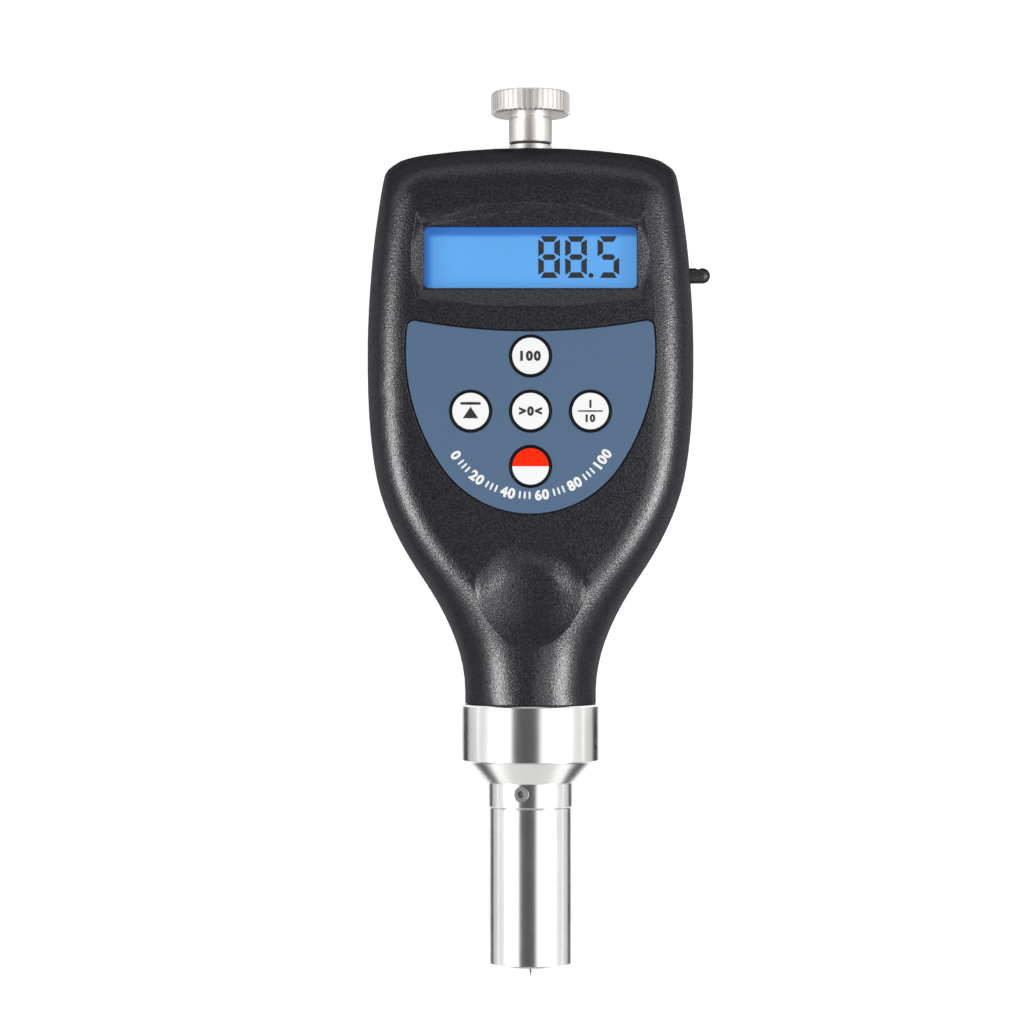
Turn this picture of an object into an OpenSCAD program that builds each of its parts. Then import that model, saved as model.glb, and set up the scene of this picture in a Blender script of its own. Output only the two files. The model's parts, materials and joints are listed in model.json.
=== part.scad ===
/* [Case] */
// Width of the case at its widest place
case_w = 64.6; // [63:0.1:68]
// Thickness of the case from back to front
case_t = 29; // [28.8:0.2:32]
// Length of the case from the collar to its top
case_len = 110.5; // [109.5:0.1:118]
// Distance from the middle of the back rest to the collar
rest_to_collar = 38.3; // [34:0.1:40]
// Height of the probe axis above the back
axis_z = 14.8; // [14.7:0.1:15.6]
// Thickness of the moulded walls
wall = 2; // [1.6:0.1:2.2]
// Diameter of the neck of the case
neck_d = 26.6; // [26.2:0.1:27.6]
// Length of the straight part of the neck
neck_straight = 2.3; // [1:0.1:4]
// Distance from the collar to the steepest place of the flare
flare_at = 25.3; // [24:0.1:28]
// Width of the case at that place
flare_w = 43.2; // [42:0.1:46]
// Distance from the collar to the shoulder
shoulder_at = 46.3; // [44:0.1:50]
// Width of the case at the shoulder
shoulder_w = 61.5; // [60:0.5:62]
// Distance from the collar to the widest place
widest_at = 69.3; // [64:0.1:74]
// Width of the top, before its corners are rounded
top_w = 57.5; // [56:0.5:60]
// Radius of the arched top
top_arch_r = 155; // [140:1:400]
// Radius of the top corners, seen from the front
corner_r = 3; // [2.5:0.5:6]
// Radius of the long edges at the front
front_edge_r = 8; // [6.5:0.1:8.2]
// Radius of the long edges at the back
back_edge_r = 5; // [4:0.1:5.5]
// Radius of the top edge at the front
top_front_r = 9; // [6:0.5:9]
// Radius of the top edge at the back
top_back_r = 5; // [4:0.5:6]
// Diameter of the spherical thumb dish at the face
dish_d = 22.6; // [18:0.1:23]
// Depth of the thumb dish
dish_depth = 3; // [1.5:0.1:3.4]
// Distance from the keypad panel's lower end to the middle of the dish
dish_below_panel = 15.9; // [14.5:0.1:17]

/* [Display] */
// Distance from the top to the middle of the window
display_from_top = 22.5; // [21.8:0.1:23.4]
// Width of the window
window_w = 41.7; // [36:0.1:42]
// Height of the window
window_h = 12.1; // [10:0.1:12.4]
// Corner radius of the window
window_r = 1; // [0.4:0.1:2]
// Depth of the sloped pocket around the window
pocket_depth = 1.6; // [0.8:0.1:1.8]
// Width of the slope beside the window
pocket_side = 2.2; // [1.4:0.1:2.3]
// Width of the slope above the window
pocket_above = 4.2; // [3:0.1:4.4]
// Width of the slope below the window
pocket_below = 3.4; // [2:0.1:3.8]
// Bow of the pocket's sides
pocket_bow = 1.1; // [0:0.1:1.2]

/* [Keypad] */
// Distance from the top to the middle of the panel's upper edge
panel_from_top = 37.2; // [36.8:0.1:39.4]
// Length of the panel along its middle
panel_len = 35.6; // [34:0.1:37]
// Radius of the panel's lower end
panel_end_r = 20.9; // [20:0.1:21.5]
// Radius of the panel's sides
panel_side_r = 40; // [38:0.5:40.5]
// Angle below the middle at which side and end meet
panel_turn = 35; // [32:0.5:35.5]
// Radius of the hollow upper edge
panel_hollow_r = 124.5; // [100:0.5:200]
// Radius of the panel's upper corners
panel_corner_r = 1.3; // [1:0.1:3]
// Thickness of the panel
panel_t = 0.7; // [0.5:0.05:0.75]
// Gap between the panel and its recess
panel_gap = 0.35; // [0.15:0.05:0.4]
// Diameter of the keys
key_d = 8.2; // [7:0.1:8.6]
// Distance between keys in a row
key_pitch_x = 11.7; // [11:0.1:12]
// Distance between rows of keys
key_pitch_y = 10.8; // [10.5:0.1:11.2]
// Distance from the panel's upper edge to the first key
key_first = 4.8; // [4.6:0.1:5.2]
// Height of the keys above the face of the case
key_proud = 0.15; // [0.05:0.05:0.4]
// Travel of the keys
key_travel = 0.4; // [0.2:0.05:0.5]

/* [Probe] */
// Diameter of the collar
collar_d = 28.4; // [28:0.1:29]
// Length of the collar's cylinder
collar_len = 11.3; // [11:0.1:14]
// Length of the collar's cone
cone_len = 4.1; // [3:0.1:6]
// Diameter at the small end of the cone
cone_end_d = 20.9; // [19:0.1:24]
// Length of the neck ring
ring_len = 5; // [4.8:0.1:7]
// Diameter of the presser foot
foot_d = 17.5; // [17:0.1:18.5]
// How far the neck ring stands out over the foot
ring_proud = 0.2; // [0.2:0.05:0.4]
// Length of the presser foot
foot_len = 31.3; // [30:0.1:36]
// How far the needle stands out of the foot
needle_out = 2.5; // [2:0.1:2.6]
// Diameter of the needle
needle_d = 1.25; // [1.1:0.05:1.4]
// Included angle of the needle's cone
needle_angle = 30; // [25:1:40]
// Diameter of the hole in the foot
needle_hole_d = 3; // [2.5:0.1:3.4]
// Diameter of the lock screw
lock_d = 2.8; // [2:0.1:3]
// Distance of the lock screw above the foot's shoulder
lock_up = 2.9; // [2:0.1:3]
// Angle of the lock screw, turned left from the front
lock_turn = 12; // [0:1:45]
// Turns of the load spring
spring_turns = 7; // [5:1:8]
// Diameter of the load spring's wire
spring_wire_d = 1.1; // [0.8:0.1:1.2]

/* [Knob] */
// Diameter of the knurled head
knob_d = 15.9; // [12:0.1:18]
// Height of the knurled head
knob_h = 4.5; // [3:0.1:6]
// Diameter of the plain shank and of the bush
shank_d = 8.6; // [8.4:0.1:9.6]
// Length of the plain shank
shank_len = 5.75; // [4:0.05:9]
// Number of ridges in the knurl
knurl_count = 48; // [30:1:60]
// Depth of the knurl
knurl_depth = 0.35; // [0.15:0.05:0.5]
// Diameter of the knob's thread
thread_d = 5; // [4:0.1:5]
// Length of the knob's thread
thread_len = 6; // [4:0.1:6.4]
// Height of the bush above the case
bush_proud = 1.2; // [0.4:0.1:1.5]
// Thickness of the washer
washer_t = 0.4; // [0.3:0.1:0.8]

/* [Battery bay] */
// Diameter of a cell
cell_d = 10.5; // [10:0.1:10.6]
// Length of a cell
cell_len = 44.5; // [43:0.1:44.8]
// Distance between cells
cell_pitch = 10.9; // [10.7:0.05:10.9]
// Length that a contact spring takes in the bay
leaf_len = 6; // [5:0.1:6.5]
// Thickness of a contact plate
plate_t = 0.5; // [0.3:0.1:0.8]
// Distance from the top of the case to the bay
bay_from_top = 7.8; // [7.6:0.1:8.4]
// Thickness of the sliding door
door_t = 1.8; // [1.4:0.1:1.8]
// How deep the door lies below the back
door_sunk = 0.2; // [0.1:0.05:0.3]

/* [Jack] */
// Distance from the top of the case to the jack
jack_from_top = 24.9; // [22:0.1:30]
// Diameter of the jack's bore
jack_bore_d = 2.6; // [2:0.1:2.8]
// Diameter of the rubber plug's grip
plug_d = 3.1; // [2.9:0.1:4.4]
// Length of the rubber plug's grip
plug_len = 4.4; // [3:0.05:6]

/* [Hidden] */
// Clearances between pieces
fit = 0.05;
slide_gap = 0.15;
key_gap = 0.12;
seam = 0.15;
// Colours of the pieces
charcoal = [0.18, 0.18, 0.2];
panel_blue = [0.34, 0.45, 0.58];
steel = [0.78, 0.77, 0.75];
brass = [0.78, 0.62, 0.3];
copper = [0.72, 0.42, 0.22];
green = [0.1, 0.36, 0.2];
white = [0.95, 0.95, 0.96];
// Heights and lengths of the case
neck_y = -rest_to_collar;
top_y = neck_y + case_len;
front_h = case_t - axis_z;
neck_r = neck_d / 2;
ramp_len = 18;
arch_len = 22;
plain_neck = 0.6;
round_loss = plain_neck * (sqrt(2) - 1);
big = 200;
// Outline of the case: distance from the collar, half width, slope
outline = [[neck_straight, neck_r - round_loss, 0], [flare_at, flare_w / 2, 0.68],
    [shoulder_at, shoulder_w / 2, 0.17], [widest_at, case_w / 2, 0], [case_len, top_w / 2, -0.13]];
// Probe, stacked from the neck down
collar_r = collar_d / 2;
foot_r = foot_d / 2;
ring_r = foot_r + ring_proud;
cup_r = collar_r - 1.7;
cup_depth = 7;
cup_floor_y = neck_y - cup_depth;
spigot_r = min(cup_r - 0.2, neck_r - 0.6);
web_t = 2.5;
tube_r = 8;
tube_len = 16;
tube_bore_r = 6.2;
coil_seat_y = neck_y - 10;
ring_y = neck_y - collar_len - cone_len - ring_len;
foot_y = ring_y - foot_len;
socket_len = 9;
bore_r = foot_r - 3.25;
stem_r = bore_r + 1.5;
socket_r = stem_r + fit;
end_wall = 4;
guide_r = bore_r - 0.45;
head_y = foot_y + end_wall;
head_top_y = head_y + 5;
rod_r = 2;
adjuster_len = 6;
adjuster_y = ring_y - 4.3;
core_y = coil_seat_y + 1;
core_len = 12;
coil_len = 18;
coil_flange = 1.2;
bobbin_bore_r = 2.6;
bobbin_hub_r = 3.2;
winding_r = 5.7;
core_r = 2.3;
pin_r = 1;
pin_len = 4;
nut_y = cup_floor_y + web_t;
// Display and board, stacked from the front
board_t = 1.6;
board_depth = 7.4;
board_top_z = case_t - board_depth;
board_z = board_top_z - board_t;
board_y1 = top_y - 8.3;
board_len = 62.5;
board_y0 = board_y1 - board_len;
board_gap = 1.2;
board_w = 2 * (min(half_w(board_y0), half_w(board_y1)) - wall - board_gap);
display_y = top_y - display_from_top;
frame_t = 1.2;
frame_z = case_t - pocket_depth - frame_t;
window_t = 1;
glass_t = 1.6;
glass_gap = 0.3;
glass_z = frame_z - window_t - glass_gap - glass_t;
glass_over = 2.1;
glass_w = window_w + 2 * glass_over;
glass_h = window_h + 2 * glass_over;
// Keypad
panel_y = top_y - panel_from_top;
panel_end_y = panel_y - panel_len;
dish_y = panel_end_y - dish_below_panel;
dish_r = (pow(dish_d / 2, 2) + dish_depth * dish_depth) / (2 * dish_depth);
recess_z = case_t - panel_t - 0.1;
key_y = panel_y - key_first;
key_flange_d = key_d + 1.4;
dome_h = 0.45;
dome_r = 3;
dome_top_r = 2.2;
key_places = [[0, 0], [-1, -1], [0, -1], [1, -1], [0, -2]];
// Screws
boss_r = 3;
screw_seat_z = 4.2;
screw_len = 16;
screw_r = 1.1;
screw_head_r = 1.95;
screw_places = [[18, top_y - 4.6], [-18, top_y - 4.6], [13, board_y0 - 6], [-13, board_y0 - 6]];
stand_x = board_w / 2 - 3;
stand_y = display_y - 12.1;
stand_places = [[stand_x, stand_y], [-stand_x, stand_y], [stand_x - 3, board_y0 + 3], [3 - stand_x, board_y0 + 3]];
screw_head_h = 1.5;
// Battery bay
bay_y1 = top_y - bay_from_top;
bay_len = cell_len + leaf_len + plate_t;
bay_y0 = bay_y1 - bay_len;
bay_w = 4 * cell_pitch + 1.2;
bay_wall = 1.2;
door_y = bay_y0 - 2.2;
door_z1 = door_sunk + door_t;
door_w = bay_w + 2.2;
tongue = 1;
ledge_z = door_z1 + slide_gap;
cell_z = ledge_z + 0.15 + cell_d / 2;
bay_top_z = cell_z + cell_d / 2 + 0.2;
// Jack and knob
jack_y = top_y - jack_from_top;
jack_nose_r = 2.4;
bush_r = 3.5;
bush_seat_y = top_y - 0.3;
bush_top_y = top_y + bush_proud;
shank_y = bush_top_y + washer_t;
knob_y = shank_y + shank_len;

// Blend from 0 to 1 without a corner
function ease(t) = let (c = min(1, max(0, t))) c * c * (3 - 2 * c);

// Cubic between two places, each [distance, value, slope]
function cubic(y, a, b) =
    let (l = b[0] - a[0], u = (y - a[0]) / l)
    (2 * u * u * u - 3 * u * u + 1) * a[1] + (u * u * u - 2 * u * u + u) * l * a[2]
    + (3 * u * u - 2 * u * u * u) * b[1] + (u * u * u - u * u) * l * b[2];

// Half width of the case at y
function half_w(y) =
    let (t = y - neck_y)
    t <= outline[0][0] ? outline[0][1] :
    t <= outline[1][0] ? cubic(t, outline[0], outline[1]) :
    t <= outline[2][0] ? cubic(t, outline[1], outline[2]) :
    t <= outline[3][0] ? cubic(t, outline[2], outline[3]) : cubic(min(t, case_len), outline[3], outline[4]);

// Share of the way from the neck's round section to the body's
function ramp(y, l) = ease((y - neck_y - neck_straight) / l);

// How far a rounded end of radius r, ending at y1, has drawn in at y
function drawn_in(y, y1, r) =
    y <= y1 - r ? 0 : r - sqrt(max(0, r * r - pow(y - y1 + r, 2)));

// One section of the case, d inside its skin: [y, half width, front, back, front radius, back radius]
function section(y, d) =
    let (
        y1 = top_y - d,
        w = half_w(y) - d - drawn_in(y, y1, corner_r - d),
        round_h = neck_r - round_loss,
        f = round_h + (front_h - round_h) * ramp(y, ramp_len) - d - drawn_in(y, y1, top_front_r - d),
        b = round_h + (axis_z - round_h) * ramp(y, ramp_len) - d - drawn_in(y, y1, top_back_r - d),
        turn = ramp(y, shoulder_at),
        rf = neck_r + (front_edge_r - neck_r) * turn - d,
        rb = neck_r + (back_edge_r - neck_r) * turn - d
    )
    [y, w, f, b, min(rf, w - plain_neck, f - plain_neck), min(rb, w - plain_neck, b - plain_neck)];

// A round section of radius r at y
function round_section(y, r) =
    let (h = r - round_loss) [y, h, h, h, h - plain_neck, h - plain_neck];

// All sections from the spigot to the top, d inside the skin
function sections(d, step) =
    let (
        y0 = neck_y + seam,
        y1 = top_y - d - (top_front_r - d),
        n = ceil((y1 - y0) / step),
        m = step < 4 ? 8 : 4
    )
    concat(
        d == 0 ? [round_section(cup_floor_y, spigot_r), round_section(y0, spigot_r)]
               : [round_section(cup_floor_y + web_t, spigot_r - d), round_section(neck_y - 0.5, spigot_r - d)],
        [for (i = [(d == 0 ? 0 : 1) : n]) section(y0 + (y1 - y0) * i / n, d)],
        [for (i = [1 : m]) section(y1 + (top_front_r - d) * sin(90 * i / m), d)]
    );

// Height of the arched top's fall at x, for a section at y
function arch(x, y) = ease((y - top_y + arch_len) / arch_len) * x * x / (2 * top_arch_r);

// Points of one section, from the right side over the front to the left and back below
function ring(s, na, nf) =
    let (
        xf = s[1] - s[4],
        xb = s[1] - s[5],
        flat = concat(
            [for (i = [0 : na]) [xf + s[4] * cos(90 * i / na), s[2] - s[4] + s[4] * sin(90 * i / na)]],
            [for (i = [1 : nf - 1]) [xf * (1 - 2 * i / nf), s[2]]],
            [for (i = [0 : na]) [-xf - s[4] * sin(90 * i / na), s[2] - s[4] + s[4] * cos(90 * i / na)]],
            [for (i = [0 : na]) [-xb - s[5] * cos(90 * i / na), s[5] - s[3] - s[5] * sin(90 * i / na)]],
            [for (i = [1 : nf - 1]) [xb * (2 * i / nf - 1), -s[3]]],
            [for (i = [0 : na]) [xb + s[5] * sin(90 * i / na), s[5] - s[3] - s[5] * cos(90 * i / na)]]
        )
    )
    [for (p = flat) [p[0], s[0] - arch(p[0], s[0]), axis_z + p[1]]];

// The filled case, d inside its skin
module case_body(d, step, na, nf) {
    list = sections(d, step);
    count = len(list);
    n = 4 * (na + 1) + 2 * (nf - 1);
    half = n / 2;
    last = (count - 1) * n;
    points = [for (s = list) each ring(s, na, nf)];
    sides = [for (k = [0 : count - 2]) for (i = [0 : n - 1])
        let (a = k * n + i, b = k * n + (i + 1) % n)
        each [[a, b, b + n], [a, b + n, a + n]]];
    foot = [[for (i = [n - 1 : -1 : 0]) i]];
    crown = [for (i = [0 : half - 2])
        let (a = last + i, b = last + i + 1, c = last + n - 2 - i, e = last + n - 1 - i)
        each [[a, b, c], [a, c, e]]];
    polyhedron(points, concat(sides, foot, crown), convexity = 6);
}

module outer_body() {
    case_body(0, 2.5, 7, 6);
}

module inner_body() {
    case_body(wall, 5, 4, 4);
}

module middle_body() {
    case_body(wall / 2, 7, 4, 4);
}

// Children drawn along z are laid along the probe axis, starting at y
module along_y(y) {
    translate([0, y, axis_z])
        rotate([-90, 0, 0])
            children();
}

// A turned piece: points are [radius, distance], laid along the probe axis from y
module turned(y, points) {
    along_y(y)
        rotate_extrude($fn = 64)
            polygon(points);
}

module block(x0, x1, y0, y1, z0, z1) {
    translate([x0, y0, z0])
        cube([x1 - x0, y1 - y0, z1 - z0]);
}

// Rounded rectangle about the origin
function rounded(w, h, r) =
    [for (q = [[1, 1, 0], [-1, 1, 90], [-1, -1, 180], [1, -1, 270]]) for (i = [0 : 6])
        [q[0] * (w / 2 - r) + r * cos(q[2] + 15 * i), q[1] * (h / 2 - r) + r * sin(q[2] + 15 * i)]];

// Where two circles meet, on the right
function meet(a, ra, b, rb) =
    let (
        v = b - a,
        l = norm(v),
        t = (l * l + ra * ra - rb * rb) / (2 * l),
        h = sqrt(ra * ra - t * t),
        u = v / l
    )
    a + t * u + h * [u[1], -u[0]];

function arc(c, r, a0, a1, n) = [for (i = [0 : n]) c + r * [cos(a0 + (a1 - a0) * i / n), sin(a0 + (a1 - a0) * i / n)]];

// Outline of the keypad panel, grown by g
function shield(g) =
    let (
        c1 = [0, panel_end_y + panel_end_r],
        reach = panel_side_r - panel_end_r,
        c2 = c1 + reach * [-cos(panel_turn), sin(panel_turn)],
        c3 = [0, panel_y + panel_hollow_r],
        r3 = panel_hollow_r - g,
        rc = panel_corner_r + g,
        fc = meet(c2, panel_side_r + g - rc, c3, r3 + rc),
        a1 = atan2(fc[1] - c2[1], fc[0] - c2[0]),
        a2 = atan2(c3[1] - fc[1], c3[0] - fc[0]),
        right = concat(
            [for (p = arc(c1, panel_end_r + g, -90, -panel_turn, 12)) p],
            [for (i = [1 : 12]) arc(c2, panel_side_r + g, -panel_turn, a1, 12)[i]],
            [for (i = [1 : 5]) arc(fc, rc, a1, a2, 5)[i]],
            [for (i = [1 : 6]) arc(c3, r3, a2 - 180, -90, 6)[i]]
        ),
        n = len(right)
    )
    concat(right, [for (i = [n - 2 : -1 : 1]) [-right[i][0], right[i][1]]]);

// Sloped pocket around the display, with bowed edges at the face
module display_pocket() {
    x0 = window_w / 2 + 0.3;
    y0 = window_h / 2 + 0.3;
    over = 1;
    k = 1 + over / pocket_depth;
    spans = [-1, -0.5, 0, 0.5];
    xs = x0 + pocket_side;
    xc = xs - pocket_bow;
    ya = y0 + pocket_above;
    yb = y0 + pocket_below;
    ca = ya - 2.3 * pocket_bow;
    cb = yb - 1.2 * pocket_bow;
    low = [[-x0, -y0], [x0, -y0], [x0, y0], [-x0, y0]];
    high = concat(
        [for (u = spans) [u * xc, -yb + (yb - cb) * u * u]],
        [for (u = spans) [xs - pocket_bow * u * u, (ca - cb) / 2 + u * (ca + cb) / 2]],
        [for (u = spans) [-u * xc, ya - (ya - ca) * u * u]],
        [for (u = spans) [pocket_bow * u * u - xs, (ca - cb) / 2 - u * (ca + cb) / 2]]);
    near = [for (j = [0 : 3]) let (a = low[j], b = low[(j + 1) % 4]) each [a, a, (a + b) / 2, b]];
    points = concat(
        [for (p = low) [p[0], display_y + p[1], case_t - pocket_depth]],
        [for (i = [0 : 15]) let (p = near[i] + (high[i] - near[i]) * k) [p[0], display_y + p[1], case_t + over]]);
    fans = [for (i = [0 : 15]) [floor((i + 2) / 4) % 4, 4 + i, 4 + (i + 1) % 16]];
    flats = [for (i = [0 : 3]) [i, 6 + 4 * i, (i + 1) % 4]];
    polyhedron(points, concat([[0, 1, 2, 3]], [[for (i = [15 : -1 : 0]) 4 + i]], fans, flats));
}

module screw_axes(z) {
    for (p = screw_places)
        translate([p[0], p[1], z])
            children();
}

// Holes that both halves of the case share
module shared_holes() {
    along_y(cup_floor_y - 1)
        cylinder(h = web_t + 2, r = tube_r + 0.2, $fn = 64);
    along_y(top_y - wall - 3)
        cylinder(h = wall + 6, r = bush_r + 0.1, $fn = 48);
    along_y(bush_seat_y)
        cylinder(h = 4, r = shank_d / 2 + 0.1, $fn = 48);
    translate([half_w(jack_y) - wall - 4, jack_y, axis_z])
        rotate([0, 90, 0])
            cylinder(h = wall + 8, r = jack_nose_r + 0.1, $fn = 48);
}

module front_features() {
    block(-window_w / 2 - 3.6, window_w / 2 + 3.6, display_y - window_h / 2 - 2.6,
        display_y + window_h / 2 + 5.2, frame_z, case_t);
    screw_axes(axis_z)
        cylinder(h = front_h, r = boss_r, $fn = 32);
    for (p = stand_places)
        translate([p[0], p[1], board_top_z])
            cylinder(h = 6.4, r = 2.2, $fn = 32);
    translate([0, dish_y, case_t + dish_r - dish_depth])
        sphere(r = dish_r + wall, $fn = 96);
}

module front_cover() {
    color(charcoal)
        difference() {
            intersection() {
                union() {
                    difference() {
                        outer_body();
                        inner_body();
                    }
                    intersection() {
                        middle_body();
                        front_features();
                    }
                }
                block(-big, big, -big, big, axis_z, big);
            }
            display_pocket();
            translate([0, display_y, frame_z - 1])
                linear_extrude(height = 4)
                    polygon(rounded(window_w, window_h, window_r));
            translate([0, 0, recess_z])
                linear_extrude(height = 3)
                    polygon(shield(panel_gap));
            for (p = key_places)
                translate([p[0] * key_pitch_x, key_y + p[1] * key_pitch_y, recess_z - 3])
                    cylinder(h = 5, r = key_d / 2 + key_gap, $fn = 48);
            translate([0, dish_y, case_t + dish_r - dish_depth])
                sphere(r = dish_r, $fn = 96);
            screw_axes(axis_z - 1)
                cylinder(h = screw_seat_z + screw_len - axis_z + 2, r = screw_r + fit, $fn = 24);
            for (p = stand_places)
                translate([p[0], p[1], board_top_z - 1])
                    cylinder(h = 4.5, r = 0.85, $fn = 24);
            shared_holes();
        }
}

module rear_features() {
    difference() {
        block(-bay_w / 2 - bay_wall, bay_w / 2 + bay_wall, bay_y0 - bay_wall, bay_y1 + bay_wall,
            ledge_z, bay_top_z + bay_wall);
        block(-bay_w / 2, bay_w / 2, bay_y0, bay_y1, -1, bay_top_z);
    }
    difference() {
        block(-door_w / 2 - 3.2, door_w / 2 + 3.2, bay_y0 - 5, top_y, 1, ledge_z + 1.2);
        block(-bay_w / 2, bay_w / 2, bay_y0, bay_y1, 0, 10);
    }
    screw_axes(0)
        cylinder(h = axis_z, r = boss_r, $fn = 32);
}

module rear_cover() {
    slot_w = door_w + 2 * slide_gap;
    color(charcoal)
        difference() {
            intersection() {
                union() {
                    difference() {
                        outer_body();
                        inner_body();
                    }
                    intersection() {
                        middle_body();
                        rear_features();
                    }
                }
                block(-big, big, -big, big, -big, axis_z);
            }
            block(-slot_w / 2, slot_w / 2, door_y - slide_gap, big, -1, ledge_z);
            block(-slot_w / 2 - tongue, slot_w / 2 + tongue, door_y - slide_gap, big, door_z1 - 1 - slide_gap, ledge_z);
            screw_axes(-1)
                cylinder(h = screw_seat_z + 1, r = screw_head_r + 0.2, $fn = 32);
            screw_axes(0)
                cylinder(h = axis_z + 1, r = screw_r + 0.1, $fn = 24);
            shared_holes();
        }
}

module battery_door() {
    r = top_back_r;
    low = acos(1 - door_sunk / r);
    high = acos(1 - door_z1 / r);
    inside = top_arch_r - 2 * (top_y - door_y);
    rounded_end = [for (i = [0 : 6]) let (a = low + (high - low) * i / 6)
        [top_arch_r - r + r * sin(a), r - r * cos(a)]];
    color(charcoal)
        difference() {
            intersection() {
                translate([0, top_y - top_arch_r, 0])
                    rotate_extrude($fn = 200)
                        polygon(concat([[inside, door_z1], [inside, door_sunk]], rounded_end));
                union() {
                    block(-door_w / 2, door_w / 2, door_y, big, door_sunk, door_z1);
                    block(-door_w / 2 - tongue, door_w / 2 + tongue, door_y, top_y - 8, door_z1 - 1, door_z1);
                }
            }
            for (i = [0 : 5])
                block(-9 + i * 0.6, 9 - i * 0.6, door_y + 5 + i * 1.8, door_y + 5.9 + i * 1.8, -1, door_sunk + 0.4);
        }
}

module case_screws() {
    color(steel)
        screw_axes(screw_seat_z)
            difference() {
                union() {
                    translate([0, 0, -screw_head_h])
                        cylinder(h = screw_head_h, r = screw_head_r, $fn = 32);
                    translate([0, 0, -0.5])
                        cylinder(h = screw_len + 0.5, r = screw_r, $fn = 24);
                }
                translate([-1.3, -0.3, -2])
                    cube([2.6, 0.6, 1.3]);
                translate([-0.3, -1.3, -2])
                    cube([0.6, 2.6, 1.3]);
            }
}

module display_window() {
    color([0.8, 0.9, 0.95])
        translate([0, display_y, frame_z - window_t])
            linear_extrude(height = window_t)
                polygon(rounded(window_w + 2.4, window_h + 2.6, 0.6));
}

module display_glass() {
    color([0.38, 0.67, 0.94])
        translate([-glass_w / 2, display_y - glass_h / 2, glass_z])
            cube([glass_w, glass_h, glass_t]);
}

module backlight() {
    color(white)
        translate([-glass_w / 2, display_y - glass_h / 2, board_top_z])
            cube([glass_w, glass_h, glass_z - board_top_z]);
}

module keypad_panel() {
    color(panel_blue)
        difference() {
            translate([0, 0, recess_z])
                linear_extrude(height = panel_t)
                    polygon(shield(0));
            for (p = key_places)
                translate([p[0] * key_pitch_x, key_y + p[1] * key_pitch_y, recess_z - 1])
                    cylinder(h = 3, r = key_d / 2 + key_gap, $fn = 48);
        }
}

// One key: cap, flange behind the wall of the case, and stem above its dome
module key(place) {
    top = case_t + key_proud;
    flange_z = case_t - wall - 0.1;
    stem_z = board_top_z + dome_h + key_travel + 0.05;
    translate([place[0] * key_pitch_x, key_y + place[1] * key_pitch_y, 0])
        rotate_extrude($fn = 64)
            polygon([[0, stem_z], [1.5, stem_z], [1.5, flange_z - 0.9], [key_flange_d / 2, flange_z - 0.9],
                [key_flange_d / 2, flange_z], [key_d / 2, flange_z], [key_d / 2, top - 0.2],
                [key_d / 2 - 0.2, top], [0, top]]);
}

module key_top() {
    color(white)
        key(key_places[0]);
}

module key_left() {
    color(white)
        key(key_places[1]);
}

module key_middle() {
    color(white)
        key(key_places[2]);
}

module key_right() {
    color(white)
        key(key_places[3]);
}

module key_power() {
    color([1, 0.2, 0])
        key(key_places[4]);
}

module switch_domes() {
    color(steel)
        for (p = key_places)
            translate([p[0] * key_pitch_x, key_y + p[1] * key_pitch_y, board_top_z])
                cylinder(h = dome_h, r1 = dome_r, r2 = dome_top_r, $fn = 32);
}

module main_board() {
    color(green)
        difference() {
            block(-board_w / 2, board_w / 2, board_y0, board_y1, board_z, board_top_z);
            for (p = stand_places)
                translate([p[0], p[1], board_z - 1])
                    cylinder(h = board_t + 2, r = 1, $fn = 24);
        }
}

module board_screws() {
    color(steel)
        for (p = stand_places)
            translate([p[0], p[1], board_z])
                difference() {
                    union() {
                        translate([0, 0, -1.2])
                            cylinder(h = 1.2, r = 1.7, $fn = 24);
                        translate([0, 0, -0.4])
                            cylinder(h = board_t + 3.4, r = 0.8, $fn = 24);
                    }
                    translate([-1.1, -0.25, -2])
                        cube([2.2, 0.5, 1.4]);
                }
}

module processor() {
    color(charcoal)
        block(-5, 5, board_y0 + 25, board_y0 + 35, board_z - 1.4, board_z);
}

// One cell, numbered from the left; every second one lies the other way
module cell(i) {
    x = (i - 2.5) * cell_pitch;
    way = i % 2 == 1 ? 1 : -1;
    y = way > 0 ? bay_y1 - plate_t : bay_y0 + plate_t;
    translate([x, y, cell_z])
        rotate([-90 * way, 0, 0])
            rotate_extrude($fn = 48)
                polygon([[0, -cell_len], [cell_d / 2 - 0.5, -cell_len], [cell_d / 2, -cell_len + 0.5],
                    [cell_d / 2, -1.6], [cell_d / 2 - 0.6, -1], [1.9, -1], [1.9, 0], [0, 0]]);
}

module cell_1() {
    color(copper)
        cell(1);
}

module cell_2() {
    color(copper)
        cell(2);
}

module cell_3() {
    color(copper)
        cell(3);
}

module cell_4() {
    color(copper)
        cell(4);
}

module contact_springs() {
    l = leaf_len;
    color(steel)
        for (i = [1 : 4])
            translate([(i - 2.5) * cell_pitch, i % 2 == 1 ? bay_y0 : bay_y1, cell_z])
                rotate([0, 0, i % 2 == 1 ? 0 : 180])
                    rotate([90, 0, 90])
                        translate([0, 0, -2.5])
                            linear_extrude(height = 5)
                                polygon([[0, -4], [0.5, -4], [l, 0.3], [1.6, 3.6], [1.3, 3.3], [l - 0.7, 0.3],
                                    [0.5, -3.4], [0.5, 4], [0, 4]]);
}

module contact_plates() {
    color(steel)
        for (i = [1 : 4])
            translate([(i - 2.5) * cell_pitch - 3.5, i % 2 == 1 ? bay_y1 - plate_t : bay_y0, cell_z - 4])
                cube([7, plate_t, 8]);
}

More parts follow.
